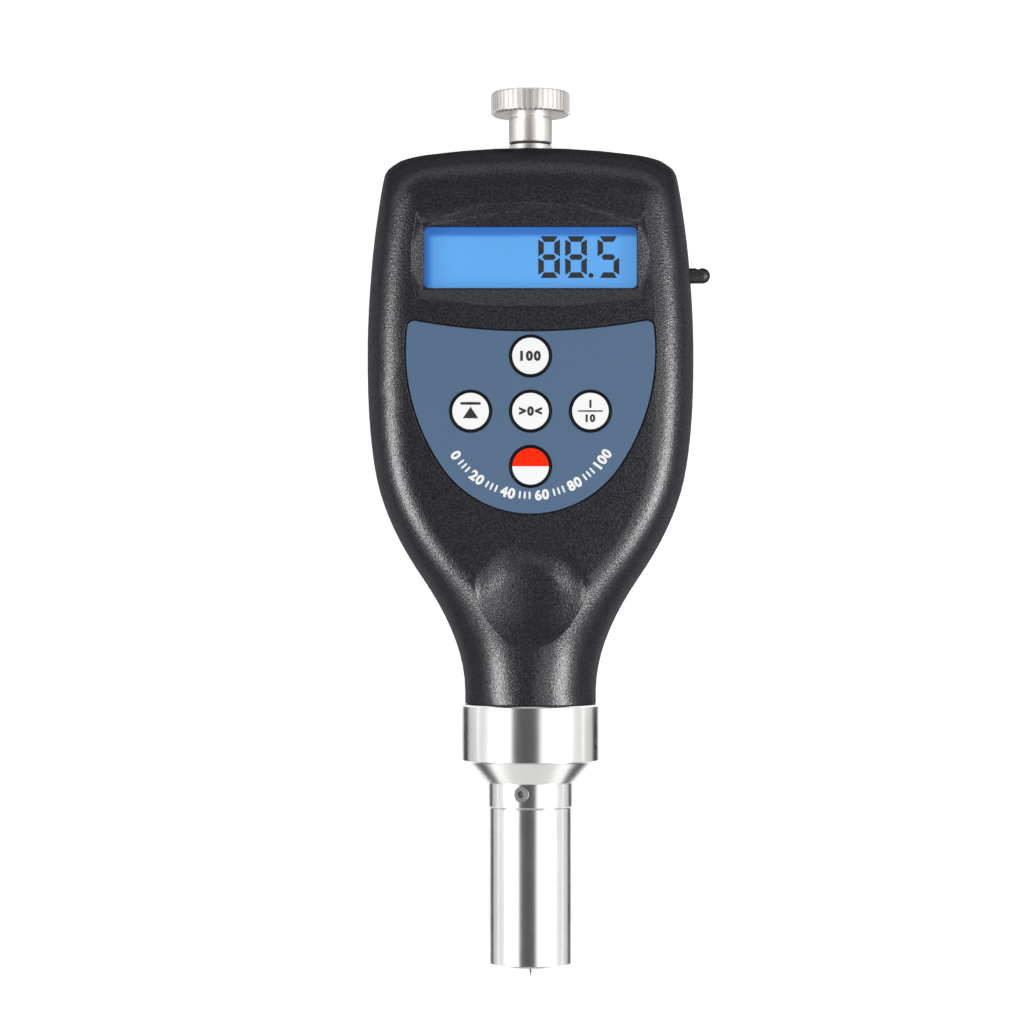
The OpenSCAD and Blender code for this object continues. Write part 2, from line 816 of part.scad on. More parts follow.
module data_jack() {
    x1 = half_w(jack_y);
    x0 = bay_w / 2 + bay_wall + 0.3;
    color(charcoal)
        translate([0, jack_y, axis_z])
            difference() {
                union() {
                    translate([x0, -3, -3])
                        cube([x1 - wall - 0.3 - x0, 6, 6]);
                    translate([x1 - wall - 1, 0, 0])
                        rotate([0, 90, 0])
                            cylinder(h = wall + 0.7, r = jack_nose_r, $fn = 48);
                }
                translate([x1 - 6, 0, 0])
                    rotate([0, 90, 0])
                        cylinder(h = 8, r = jack_bore_d / 2, $fn = 32);
            }
}

module jack_plug() {
    r = plug_d / 2;
    shaft_r = jack_bore_d / 2 - 0.08;
    color([0.1, 0.1, 0.11])
        translate([half_w(jack_y), jack_y, axis_z])
            difference() {
                rotate([0, 90, 0])
                    rotate_extrude($fn = 48)
                        polygon(concat([[0, -5.5], [shaft_r, -5.5], [shaft_r, 0.1], [r, 0.1]],
                            [for (i = [0 : 8]) [r * cos(11.25 * i), plug_len - r + r * sin(11.25 * i)]]));
                translate([2, r + 0.25, -r - 1])
                    cylinder(h = plug_d + 2, r = 0.55, $fn = 24);
            }
}

module collar() {
    edge = 0.3;
    low = -collar_len - cone_len;
    color(steel)
        difference() {
            turned(neck_y, [[collar_r - edge, 0], [collar_r, -edge], [collar_r, -collar_len + edge],
                [collar_r - edge, -collar_len], [cone_end_d / 2, low], [ring_r, low], [ring_r, ring_y - neck_y + 0.2],
                [ring_r - 0.2, ring_y - neck_y], [socket_r, ring_y - neck_y], [socket_r, ring_y - neck_y + socket_len],
                [5, ring_y - neck_y + socket_len], [5, coil_seat_y - neck_y], [tube_bore_r, coil_seat_y - neck_y],
                [tube_bore_r, tube_len - cup_depth], [tube_r, tube_len - cup_depth], [tube_r, -cup_depth],
                [cup_r, -cup_depth], [cup_r, 0]]);
            lock_axis(socket_r - 1)
                cylinder(h = 6, r = lock_d / 2 + fit, $fn = 32);
        }
}

// Children drawn along z start at radius r on the lock screw's axis
module lock_axis(r) {
    translate([0, ring_y + lock_up, axis_z])
        rotate([0, -lock_turn, 0])
            translate([0, 0, r])
                children();
}

module presser_foot() {
    l = foot_len + socket_len - 0.5;
    color(steel)
        turned(foot_y, [[needle_hole_d / 2, 0], [foot_r - 0.4, 0], [foot_r, 0.4], [foot_r, foot_len - 0.2],
            [foot_r - 0.2, foot_len], [stem_r, foot_len], [stem_r, l], [bore_r, l], [bore_r, end_wall],
            [needle_hole_d / 2, end_wall]]);
}

module lock_screw() {
    h = ring_r - 0.2 - socket_r;
    color([0.3, 0.3, 0.32])
        lock_axis(socket_r)
            difference() {
                cylinder(h = h, r = lock_d / 2, $fn = 32);
                translate([0, 0, h - 0.9])
                    cylinder(h = 2, r = lock_d * 0.28, $fn = 6);
            }
}

module needle() {
    r = needle_d / 2;
    cone = (r - 0.1) / tan(needle_angle / 2);
    color([0.85, 0.85, 0.86])
        turned(foot_y, [[0, -needle_out], [0.1, -needle_out], [r, cone - needle_out], [r, end_wall + 8],
            [0, end_wall + 8]]);
}

module plunger() {
    hole_r = needle_d / 2 + 0.02;
    color(steel)
        turned(0, [[hole_r, head_y], [guide_r - fit, head_y], [guide_r - fit, head_top_y], [rod_r, head_top_y],
            [rod_r, core_y], [pin_r, core_y], [pin_r, core_y + pin_len], [0, core_y + pin_len], [0, foot_y + end_wall + 8],
            [hole_r, foot_y + end_wall + 8]]);
}

// Coil of round wire about the probe axis
module load_spring() {
    wire = spring_wire_d / 2;
    mean = rod_r + 0.9 + wire;
    y0 = head_top_y + wire + 0.03;
    y1 = adjuster_y - wire - 0.03;
    n = 12 * spring_turns;
    k = 6;
    points = [for (i = [0 : n]) for (j = [0 : k - 1])
        let (a = 30 * i, b = 360 * j / k, r = mean + wire * cos(b))
        [r * cos(a), y0 + (y1 - y0) * i / n + wire * sin(b), axis_z + r * sin(a)]];
    sides = [for (i = [0 : n - 1]) for (j = [0 : k - 1])
        let (p = i * k + j, q = i * k + (j + 1) % k)
        each [[p, q, q + k], [p, q + k, p + k]]];
    first = [[for (j = [k - 1 : -1 : 0]) j]];
    final = [[for (j = [0 : k - 1]) n * k + j]];
    color([0.6, 0.6, 0.62])
        polyhedron(points, concat(sides, first, final), convexity = 10);
}

module guide_bush() {
    color(brass)
        turned(head_y, [[guide_r, 0], [bore_r - 0.03, 0], [bore_r - 0.03, 9], [guide_r, 9]]);
}

module load_adjuster() {
    color(brass)
        difference() {
            turned(adjuster_y, [[rod_r + fit, 0], [bore_r - fit, 0], [bore_r - fit, adjuster_len],
                [rod_r + fit, adjuster_len]]);
            for (s = [-1, 1])
                along_y(adjuster_y + adjuster_len - 2)
                    translate([s * (bore_r + rod_r) / 2, 0, 0])
                        cylinder(h = 4, r = 0.6, $fn = 24);
        }
}

module probe_nut() {
    color(brass)
        difference() {
            turned(nut_y, [[tube_r + fit, 0], [spigot_r - wall - 0.5, 0], [spigot_r - wall - 0.5, 4], [tube_r + fit, 4]]);
            for (a = [0 : 90 : 270])
                along_y(nut_y + 2.5)
                    rotate([0, 0, a])
                        translate([tube_r + 1, -0.8, 0])
                            cube([4, 1.6, 3]);
        }
}

module coil_bobbin() {
    r = tube_bore_r - 0.1;
    color([0.9, 0.88, 0.8])
        turned(coil_seat_y, [[bobbin_bore_r, 0], [r, 0], [r, coil_flange], [bobbin_hub_r, coil_flange],
            [bobbin_hub_r, coil_len - coil_flange], [r, coil_len - coil_flange], [r, coil_len],
            [bobbin_bore_r, coil_len]]);
}

module coil_winding() {
    r = bobbin_hub_r + fit;
    l = coil_flange + fit;
    color(copper)
        turned(coil_seat_y, [[r, l], [winding_r, l], [winding_r, coil_len - l], [r, coil_len - l]]);
}

module sensor_core() {
    color([0.25, 0.25, 0.27])
        turned(core_y, [[pin_r + fit, 0], [core_r, 0], [core_r, core_len], [0, core_len], [0, pin_len + 0.2],
            [pin_r + fit, pin_len + 0.2]]);
}

module sensor_lead() {
    y0 = coil_seat_y + coil_len;
    y1 = board_y0 + 2;
    z = axis_z + 4.2;
    color([0.7, 0.1, 0.1]) {
        translate([0, y0, z])
            rotate([-90, 0, 0])
                cylinder(h = y1 - y0, r = 0.6, $fn = 24);
        translate([0, y1, z])
            sphere(r = 0.6, $fn = 24);
        translate([0, y1, z])
            cylinder(h = board_z - z, r = 0.6, $fn = 24);
    }
}

module top_bush() {
    r = shank_d / 2;
    color(steel)
        turned(0, [[thread_d / 2 + fit, top_y - 6.4], [bush_r, top_y - 6.4], [bush_r, bush_seat_y],
            [r, bush_seat_y], [r, bush_top_y], [thread_d / 2 + fit, bush_top_y]]);
}

module bush_nut() {
    color(steel)
        along_y(top_y - wall - 2.7)
            difference() {
                cylinder(h = 2.5, r = 5.2, $fn = 6);
                translate([0, 0, -1])
                    cylinder(h = 5, r = bush_r + fit, $fn = 48);
            }
}

module knob_washer() {
    color([0.08, 0.08, 0.08])
        turned(bush_top_y, [[thread_d / 2 + fit, 0], [shank_d / 2 - 0.4, 0], [shank_d / 2 - 0.4, washer_t],
            [thread_d / 2 + fit, washer_t]]);
}

module top_knob() {
    r = knob_d / 2;
    s = shank_d / 2;
    step = 360 / knurl_count;
    root = r - knurl_depth;
    edge = knurl_depth + 0.05;
    knurl = [for (i = [0 : knurl_count - 1]) for (p = [[-0.3, r], [0.3, r], [0.5, root]])
        p[1] * [cos((i + p[0]) * step), sin((i + p[0]) * step)]];
    color(steel)
        union() {
            intersection() {
                along_y(knob_y)
                    linear_extrude(height = knob_h)
                        polygon(knurl);
                turned(knob_y, [[0, 0], [r - edge, 0], [r + 0.01, edge], [r + 0.01, knob_h - edge],
                    [r - edge, knob_h], [0, knob_h]]);
            }
            turned(shank_y, [[0, -thread_len - washer_t], [thread_d / 2 - 0.5, -thread_len - washer_t],
                [thread_d / 2, 0.5 - thread_len - washer_t], [thread_d / 2, 0], [s - 0.2, 0], [s, 0.2],
                [s, shank_len - 1], [s - 0.5, shank_len - 0.95], [s - 0.5, shank_len - 0.65],
                [s - 0.1, shank_len - 0.6], [s - 0.1, shank_len + 0.5], [0, shank_len + 0.5]]);
        }
}

front_cover();
rear_cover();
battery_door();
case_screws();
display_window();
display_glass();
backlight();
keypad_panel();
key_top();
key_left();
key_middle();
key_right();
key_power();
switch_domes();
main_board();
board_screws();
processor();
cell_1();
cell_2();
cell_3();
cell_4();
contact_springs();
contact_plates();
data_jack();
jack_plug();
collar();
presser_foot();
lock_screw();
needle();
plunger();
load_spring();
guide_bush();
load_adjuster();
probe_nut();
coil_bobbin();
coil_winding();
sensor_core();
sensor_lead();
top_bush();
bush_nut();
knob_washer();
top_knob();
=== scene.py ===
"""Visual model of a handheld digital durometer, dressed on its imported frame."""

import json
import logging
import math
from contextlib import contextmanager
from dataclasses import dataclass, field
from enum import Enum
from typing import Callable, ClassVar, Iterator, Mapping, Optional, Sequence, Union

import bpy
from mathutils import Matrix, Vector


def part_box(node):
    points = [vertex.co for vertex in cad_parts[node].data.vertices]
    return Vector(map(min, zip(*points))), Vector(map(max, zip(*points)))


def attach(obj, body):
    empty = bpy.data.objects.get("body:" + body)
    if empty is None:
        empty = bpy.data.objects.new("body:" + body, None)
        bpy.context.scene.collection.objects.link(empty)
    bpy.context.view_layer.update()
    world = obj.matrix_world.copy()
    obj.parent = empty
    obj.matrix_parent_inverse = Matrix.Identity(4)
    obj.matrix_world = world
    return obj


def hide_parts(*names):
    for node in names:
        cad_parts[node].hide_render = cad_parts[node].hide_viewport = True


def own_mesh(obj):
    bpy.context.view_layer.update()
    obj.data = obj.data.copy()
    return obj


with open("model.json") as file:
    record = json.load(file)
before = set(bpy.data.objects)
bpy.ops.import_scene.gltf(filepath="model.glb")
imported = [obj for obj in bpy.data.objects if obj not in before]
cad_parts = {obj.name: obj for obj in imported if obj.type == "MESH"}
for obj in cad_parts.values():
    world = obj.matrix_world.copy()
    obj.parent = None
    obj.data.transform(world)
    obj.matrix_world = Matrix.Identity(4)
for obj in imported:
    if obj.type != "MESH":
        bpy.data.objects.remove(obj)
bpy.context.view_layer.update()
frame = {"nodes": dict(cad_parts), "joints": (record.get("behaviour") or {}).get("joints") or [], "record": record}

MM = 0.001
AXIS_Z = 14.8 * MM
WELD = 0.002 * MM
NEAR = 0.0001 * MM
INK_H = 0.03 * MM
Colour = tuple[float, float, float]
Point = tuple[float, float, float]
log = logging.getLogger("durometer")


class Body(str, Enum):
    """Moving bodies of the frame that pieces ride on."""

    CASE = "case"
    DOOR = "door"
    TOP_KEY = "top_key"
    LEFT_KEY = "left_key"
    MIDDLE_KEY = "middle_key"
    RIGHT_KEY = "right_key"


class Slot(str, Enum):
    """Material slots of the record that pieces take their finish from."""

    CASE = "case_plastic"
    INK = "chip_black"
    NEEDLE = "needle_steel"
    WHITE = "white_plastic"


class Value:
    """A socket that carries one number; Python's operators on it add Math nodes."""

    def __init__(self, graph: "Graph", socket: bpy.types.NodeSocket) -> None:
        """Keep the graph that the socket belongs to."""
        self.graph = graph
        self.socket = socket

    def __add__(self, other: "Number") -> "Value":
        """Sum of this value and another."""
        return self.graph.math("ADD", self, other)

    def __radd__(self, other: "Number") -> "Value":
        """Sum of another value and this one."""
        return self.graph.math("ADD", other, self)

    def __sub__(self, other: "Number") -> "Value":
        """This value less another."""
        return self.graph.math("SUBTRACT", self, other)

    def __rsub__(self, other: "Number") -> "Value":
        """Another value less this one."""
        return self.graph.math("SUBTRACT", other, self)

    def __mul__(self, other: "Number") -> "Value":
        """Product of this value and another."""
        return self.graph.math("MULTIPLY", self, other)

    def __rmul__(self, other: "Number") -> "Value":
        """Product of another value and this one."""
        return self.graph.math("MULTIPLY", other, self)

    def root(self) -> "Value":
        """Square root of this value."""
        return self.graph.math("SQRT", self)

    def most(self, other: "Number") -> "Value":
        """The larger of this value and another."""
        return self.graph.math("MAXIMUM", self, other)

    def least(self, other: "Number") -> "Value":
        """The smaller of this value and another."""
        return self.graph.math("MINIMUM", self, other)

    def step(self, low: float, high: float) -> "Value":
        """Soft step of this value.

        Args:
            low: Where the step starts to leave 0.
            high: Where the step reaches 1.

        Returns:
            A value from 0 to 1.
        """
        made = self.graph.node(
            "ShaderNodeMapRange",
            {"interpolation_type": "SMOOTHSTEP"},
            {"Value": self, "From Min": low, "From Max": high},
        )
        return Value(self.graph, made.outputs[0])


Number = Union[Value, float]
Given = Union[Value, bpy.types.NodeSocket, float, Sequence[float]]


class Graph:
    """The nodes of one material, or of the world."""

    EDGE_SAMPLES: ClassVar[int] = 6

    def __init__(self, tree: bpy.types.NodeTree, material: Optional[bpy.types.Material] = None) -> None:
        """Empty a node tree and keep it.

        Args:
            tree: The node tree.
            material: The material that it belongs to, if any.
        """
        self.tree = tree
        self.material = material
        tree.nodes.clear()

    @classmethod
    def of_material(cls, name: str) -> "Graph":
        """Start a new material.

        Args:
            name: Name of the material.

        Returns:
            The graph of its nodes.
        """
        material = bpy.data.materials.new(name)
        material.use_nodes = True
        return cls(material.node_tree, material)

    def node(
        self,
        kind: str,
        settings: Optional[Mapping[str, object]] = None,
        inputs: Optional[Mapping[Union[int, str], Given]] = None,
    ) -> bpy.types.Node:
        """Add one node.

        Args:
            kind: Type of the node.
            settings: Its settings, set first; stops are a ramp's places and colours.
            inputs: Values or links of its sockets, by name or number.

        Returns:
            The node.
        """
        made = self.tree.nodes.new(kind)
        for name, setting in (settings or {}).items():
            if name == "stops":
                self._stops(made.color_ramp, setting)
            else:
                setattr(made, name, setting)
        for key, given in (inputs or {}).items():
            socket = made.inputs[key]
            if isinstance(given, Value):
                self.tree.links.new(given.socket, socket)
            elif isinstance(given, bpy.types.NodeSocket):
                self.tree.links.new(given, socket)
            else:
                socket.default_value = given
        return made

    @staticmethod
    def _stops(ramp: bpy.types.ColorRamp, stops: Sequence[tuple[float, Colour]]) -> None:
        """Set a ramp's stops.

        Args:
            ramp: The ramp, with its two first stops.
            stops: Place and colour of each stop, in order.
        """
        while len(ramp.elements) < len(stops):
            ramp.elements.new(1.0)
        for element, (place, colour) in zip(ramp.elements, stops):
            element.position = place
            element.color = (*colour, 1.0)

    def math(self, operation: str, *values: Number) -> Value:
        """Put values through one Math node.

        Args:
            operation: The Math node's operation.
            values: Its values, in order.

        Returns:
            The result.
        """
        made = self.node("ShaderNodeMath", {"operation": operation}, dict(enumerate(values)))
        return Value(self, made.outputs[0])

    def place(self, centre: Point = (0, 0, 0), stretch: Point = (1, 1, 1)) -> bpy.types.NodeSocket:
        """Object coordinates about a centre.

        Args:
            centre: Point of the object that becomes the origin, in metres.
            stretch: Factor on each axis.

        Returns:
            The vector socket.
        """
        where = self.node("ShaderNodeTexCoord").outputs["Object"]
        shift = tuple(-c * s for c, s in zip(centre, stretch))
        inputs = {"Vector": where, "Location": shift, "Scale": stretch}
        return self.node("ShaderNodeMapping", None, inputs).outputs[0]

    def axes(self, centre: Point = (0, 0, 0)) -> tuple[Value, Value, Value]:
        """Distances from a centre along x, y and z.

        Args:
            centre: Point of the object that they start from, in metres.

        Returns:
            The three values.
        """
        parts = self.node("ShaderNodeSeparateXYZ", None, {0: self.place(centre)})
        return tuple(Value(self, out) for out in parts.outputs)

    def noise(
        self, where: bpy.types.NodeSocket, size: float, detail: float = 2.0, rough: float = 0.5
    ) -> Value:
        """Even noise from 0 to 1.

        Args:
            where: Coordinates that it is laid on.
            size: Size of its features, in metres.
            detail: How many finer layers it has.
            rough: Weight of the finer layers.

        Returns:
            The noise.
        """
        made = self.node(
            "ShaderNodeTexNoise",
            None,
            {"Vector": where, "Scale": 1.0 / size, "Detail": detail, "Roughness": rough},
        )
        return Value(self, made.outputs[0])

    def lines(self, along: Value, size: float, detail: float = 3.0, rough: float = 0.65) -> Value:
        """Noise that changes along one value alone, as tool marks do.

        Args:
            along: Distance that it follows, in metres.
            size: Width of the marks, in metres.
            detail: How many finer layers it has.
            rough: Weight of the finer layers.

        Returns:
            The noise.
        """
        made = self.node(
            "ShaderNodeTexNoise",
            {"noise_dimensions": "1D"},
            {"W": along * (1.0 / size), "Scale": 1.0, "Detail": detail, "Roughness": rough},
        )
        return Value(self, made.outputs[0])

    def mix(self, first: Given, second: Given, share: Number) -> bpy.types.NodeSocket:
        """Mix two colours.

        Args:
            first: Colour where the share is 0.
            second: Colour where the share is 1.
            share: How much of the second there is.

        Returns:
            The mixed colour.
        """
        full = [(*c, 1.0) if isinstance(c, tuple) else c for c in (first, second)]
        made = self.node("ShaderNodeMix", {"data_type": "RGBA"}, {0: share, 6: full[0], 7: full[1]})
        return made.outputs[2]

    def edge(self, radius: float) -> bpy.types.NodeSocket:
        """Normals that are rounded along the piece's edges.

        Args:
            radius: Radius of the rounding, in metres.

        Returns:
            The normal.
        """
        return self.node("ShaderNodeBevel", {"samples": self.EDGE_SAMPLES}, {"Radius": radius}).outputs[0]

    def relief(self, height: Value, depth: float, strength: float, edge: float) -> bpy.types.NodeSocket:
        """Normals of a fine relief on a piece with rounded edges.

        Args:
            height: Height of the relief, from 0 to 1.
            depth: Height of 1, in metres.
            strength: How much of it shows.
            edge: Radius of the piece's edges, in metres.

        Returns:
            The normal.
        """
        made = self.node(
            "ShaderNodeBump",
            None,
            {"Strength": strength, "Distance": depth, "Height": height, "Normal": self.edge(edge)},
        )
        return made.outputs[0]

    def seen(self) -> Value:
        """Tell rays that look at something from rays that only carry light.

        Returns:
            1 for the eye, a reflection or a look through a clear piece, and 0 for the rest.
        """
        path = self.node("ShaderNodeLightPath").outputs
        kinds = ("Is Camera Ray", "Is Glossy Ray", "Is Transmission Ray")
        eye, mirrored, through = (Value(self, path[kind]) for kind in kinds)
        return (eye + mirrored + through).least(1.0)

    def finish(self, inputs: Mapping[str, Given], dull: Optional[Value] = None) -> bpy.types.Material:
        """End the material in a Principled shader.

        Args:
            inputs: Values or links of the shader's sockets.
            dull: Share of the surface that has no gloss.

        Returns:
            The material.
        """
        full = {name: (*given, 1.0) if isinstance(given, tuple) else given for name, given in inputs.items()}
        shader = self.node("ShaderNodeBsdfPrincipled", None, full)
        if dull is not None:
            flat = self.node("ShaderNodeBsdfPrincipled", None, {**full, "Specular IOR Level": 0.0})
            parts = {0: dull, 1: shader.outputs[0], 2: flat.outputs[0]}
            shader = self.node("ShaderNodeMixShader", None, parts)
        self.node("ShaderNodeOutputMaterial", None, {"Surface": shader.outputs[0]})
        return self.material


def grey(tone: float) -> tuple[float, float, float, float]:
    """Give an even grey from 0, black, to 1, white."""
    return (tone, tone, tone, 1.0)


def tint(colour: Colour, factor: float) -> Colour:
    """Make a colour lighter or darker by a factor, up to full white."""
    return tuple(min(1.0, part * factor) for part in colour)


@dataclass(frozen=True)
class MouldedPlastic:
    """Plastic with the grain of a textured mould, dull in its pits and at a glancing angle."""

    name: str
    colour: Colour
    roughness: float
    grain: float = 0.3 * MM
    depth: float = 0.06 * MM
    strength: float = 1.0
    edge: float = 0.3 * MM
    fleck: float = 0.25
    ior: float = 1.8
    glancing: float = 0.8
    glancing_step: tuple[float, float] = (0.12, 0.36)
    pits: float = 0.48
    pit_size: float = 0.9
    pit_step: tuple[float, float] = (0.36, 0.66)
    cloud: float = 9 * MM
    cloud_share: float = 0.2
    uneven: float = 0.08

    def make(self) -> bpy.types.Material:
        """Make the material."""
        graph = Graph.of_material(self.name)
        where = graph.place()
        grain = graph.noise(where, self.grain, 1.0, 0.5)
        specks = graph.noise(where, self.grain * self.pit_size, 0.0).step(*self.pit_step)
        cloud = graph.noise(where, self.cloud, 3.0)
        light, dark = tint(self.colour, 1 + self.fleck), tint(self.colour, 1 - self.fleck)
        facing = Value(graph, graph.node("ShaderNodeLayerWeight", None, {"Blend": 0.5}).outputs["Facing"])
        aside = facing.step(*self.glancing_step) * self.glancing
        shade = cloud * self.cloud_share + specks * (1 - self.cloud_share)
        return graph.finish(
            {
                "Base Color": graph.mix(dark, light, shade),
                "Roughness": self.roughness - self.uneven / 2 + specks * self.uneven,
                "IOR": self.ior,
                "Normal": graph.relief(grain, self.depth, self.strength, self.edge),
            },
            1 - (1 - aside) * (1 - (1 - specks) * self.pits),
        )


@dataclass(frozen=True)
class TurnedMetal:
    """Metal with the fine rings that a lathe leaves about the probe axis."""

    name: str
    colour: Colour
    roughness: float
    pitch: float = 0.12 * MM
    depth: float = 0.004 * MM
    strength: float = 0.35
    edge: float = 0.12 * MM
    metallic: float = 1.0
    light: float = 1.06
    dark: float = 0.9
    ring_share: float = 0.6
    cloud: float = 6 * MM
    polish: float = 0.06
    ring_gloss: float = 0.08
    cloud_gloss: float = 0.05

    def make(self) -> bpy.types.Material:
        """Make the material."""
        graph = Graph.of_material(self.name)
        x, y, z = graph.axes((0, 0, AXIS_Z))
        rings = graph.lines(y + (x * x + z * z).root(), self.pitch)
        cloud = graph.noise(graph.place(), self.cloud, 4.0, 0.6)
        light, dark = tint(self.colour, self.light), tint(self.colour, self.dark)
        shade = rings * self.ring_share + cloud * (1 - self.ring_share)
        uneven = rings * self.ring_gloss + cloud * self.cloud_gloss
        return graph.finish(
            {
                "Base Color": graph.mix(dark, light, shade),
                "Metallic": self.metallic,
                "Roughness": self.roughness - self.polish + uneven,
                "Normal": graph.relief(rings, self.depth, self.strength, self.edge),
            }
        )


@dataclass(frozen=True)
class PressedMetal:
    """Plated or drawn metal with a faint, cloudy gloss."""

    name: str
    colour: Colour
    roughness: float
    grain: float = 0.5 * MM
    depth: float = 0.004 * MM
    strength: float = 0.3
    edge: float = 0.1 * MM
    metallic: float = 1.0
    dark: float = 0.85
    cloud: float = 4 * MM
    uneven: float = 0.1

    def make(self) -> bpy.types.Material:
        """Make the material."""
        graph = Graph.of_material(self.name)
        grain = graph.noise(graph.place(), self.grain, 4.0, 0.6)
        cloud = graph.noise(graph.place(), self.cloud)
        return graph.finish(
            {
                "Base Color": graph.mix(tint(self.colour, self.dark), self.colour, cloud),
                "Metallic": self.metallic,
                "Roughness": self.roughness - self.uneven / 2 + grain * self.uneven,
                "Normal": graph.relief(grain, self.depth, self.strength, self.edge),
            }
        )


@dataclass(frozen=True)
class Film:
    """Printed film with a fine matte face."""

    name: str
    colour: Colour
    roughness: float
    grain: float = 0.12 * MM
    depth: float = 0.008 * MM
    strength: float = 0.25
    edge: float = 0.15 * MM
    light: float = 1.07
    dark: float = 0.94
    cloud: float = 5 * MM
    cloud_share: float = 0.4
    uneven: float = 0.1

    def make(self) -> bpy.types.Material:
        """Make the material."""
        graph = Graph.of_material(self.name)
        where = graph.place()
        grain = graph.noise(where, self.grain)
        cloud = graph.noise(where, self.cloud)
        light, dark = tint(self.colour, self.light), tint(self.colour, self.dark)
        shade = cloud * self.cloud_share + grain * (1 - self.cloud_share)
        return graph.finish(
            {
                "Base Color": graph.mix(dark, light, shade),
                "Roughness": self.roughness - self.uneven / 2 + grain * self.uneven,
                "Normal": graph.relief(grain, self.depth, self.strength, self.edge),
            }
        )


@dataclass(frozen=True)
class KeyCap:
    """Glossy key with a near-black ring near its rim, and a second colour on its upper half."""

    name: str
    centre: Point
    lower: Colour
    upper: Colour
    ring: Colour = (0.004, 0.004, 0.005)
    ring_r: float = 3.56 * MM
    blur: float = 0.03 * MM
    roughness: float = 0.4
    uneven: float = 0.08
    gloss: float = 0.2
    grain: float = 0.2 * MM
    depth: float = 0.004 * MM
    strength: float = 0.2
    edge: float = 0.12 * MM

    def make(self) -> bpy.types.Material:
        """Make the material."""
        graph = Graph.of_material(self.name)
        x, y, _ = graph.axes(self.centre)
        outside = (x * x + y * y).root().step(self.ring_r - self.blur, self.ring_r + self.blur)
        halves = graph.mix(self.lower, self.upper, y.step(-self.blur, self.blur))
        grain = graph.noise(graph.place(), self.grain)
        return graph.finish(
            {
                "Base Color": graph.mix(halves, self.ring, outside),
                "Roughness": self.roughness - self.uneven / 2 + grain * self.uneven,
                "Specular IOR Level": self.gloss,
                "Normal": graph.relief(grain, self.depth, self.strength, self.edge),
            }
        )


@dataclass(frozen=True)
class BacklitPanel:
    """Lit display, with painted shade under the top and left edges of its window: a darker band of its colour
    along them.
    """

    name: str
    lit: Colour
    shaded: Colour
    left: float
    top: float
    band: float
    left_start: float = 0.1
    top_end: float = 0.4
    glow: float = 0.74
    paint: float = 0.4
    roughness: float = 0.45
    uneven: float = 0.05
    cloud: float = 14 * MM
    light: float = 1.03
    dark: float = 0.96

    def make(self) -> bpy.types.Material:
        """Make the material."""
        graph = Graph.of_material(self.name)
        x, y, _ = graph.axes((self.left, self.top, 0))
        # Painted shadow of the window's left and top edges: within the band along them the colour turns from the
        # lit one to the shaded one.
        from_left = x.step(self.band * self.left_start, self.band)
        unshaded_part = from_left * (1.0 - y.step(-self.band, -self.band * self.top_end))
        cloud = graph.noise(graph.place(), self.cloud, 1.0)
        lit = graph.mix(tint(self.lit, self.dark), tint(self.lit, self.light), cloud)
        colour = graph.mix(self.shaded, lit, unshaded_part)
        return graph.finish(
            {
                "Base Color": graph.mix((0, 0, 0), colour, self.paint),
                "Roughness": self.roughness + cloud * self.uneven,
                "Emission Color": colour,
                "Emission Strength": self.glow,
            }
        )


@dataclass(frozen=True)
class ClearPlate:
    """Clear moulded window with a faint haze."""

    name: str
    colour: Colour
    alpha: float
    roughness: float = 0.04
    uneven: float = 0.05
    haze: float = 3 * MM
    haze_alpha: float = 0.02
    ior: float = 1.49

    def make(self) -> bpy.types.Material:
        """Make the material."""
        graph = Graph.of_material(self.name)
        haze = graph.noise(graph.place(), self.haze, 3.0)
        return graph.finish(
            {
                "Base Color": self.colour,
                "Roughness": self.roughness + haze * self.uneven,
                "Alpha": self.alpha + haze * self.haze_alpha,
                "IOR": self.ior,
            }
        )


@dataclass(frozen=True)
class CellJacket:
    """Metal-coloured wrap of a cell: two fields of colour about its axis, with bare ends."""

    name: str
    body: Colour
    band: Colour
    split_y: float
    low_y: float
    high_y: float
    can: Colour = (0.62, 0.61, 0.6)
    blur: float = 0.05 * MM
    metallic: float = 0.35
    roughness: float = 0.28
    uneven: float = 0.1
    grain: float = 0.4 * MM
    depth: float = 0.004 * MM
    strength: float = 0.2
    edge: float = 0.2 * MM

    def make(self) -> bpy.types.Material:
        """Make the material."""
        graph = Graph.of_material(self.name)
        _, y, _ = graph.axes()
        fleck = graph.noise(graph.place(), self.grain)
        wrap = graph.mix(self.body, self.band, y.step(self.split_y - self.blur, self.split_y + self.blur))
        low_end = 1.0 - y.step(self.low_y, self.low_y + 2 * self.blur)
        ends = low_end.most(y.step(self.high_y, self.high_y + 2 * self.blur))
        return graph.finish(
            {
                "Base Color": graph.mix(wrap, self.can, ends),
                "Metallic": self.metallic + ends * (1 - self.metallic),
                "Roughness": self.roughness + fleck * self.uneven,
                "Normal": graph.relief(fleck, self.depth, self.strength, self.edge),
            }
        )


def bare() -> None:
    """Leave edit mode and deselect every object."""
    if bpy.context.mode != "OBJECT":
        bpy.ops.object.mode_set(mode="OBJECT")
    bpy.ops.object.select_all(action="DESELECT")


def hold(piece: bpy.types.Object) -> bpy.types.Object:
    """Select one object alone and make it active.

    Args:
        piece: The object.

    Returns:
        The object.
    """
    bare()
    piece.select_set(True)
    bpy.context.view_layer.objects.active = piece
    return piece


def settle(piece: bpy.types.Object) -> bpy.types.Object:
    """Put an object's place, turn and size into its mesh.

    Args:
        piece: The object.

    Returns:
        The object.
    """
    hold(piece)
    bpy.ops.object.transform_apply(location=True, rotation=True, scale=True)
    return piece


@contextmanager
def editing(piece: bpy.types.Object) -> Iterator[None]:
    """Hold an object in edit mode, and leave it afterwards.

    Args:
        piece: The object.
    """
    hold(piece)
    bpy.ops.object.mode_set(mode="EDIT")
    yield
    bpy.ops.object.mode_set(mode="OBJECT")


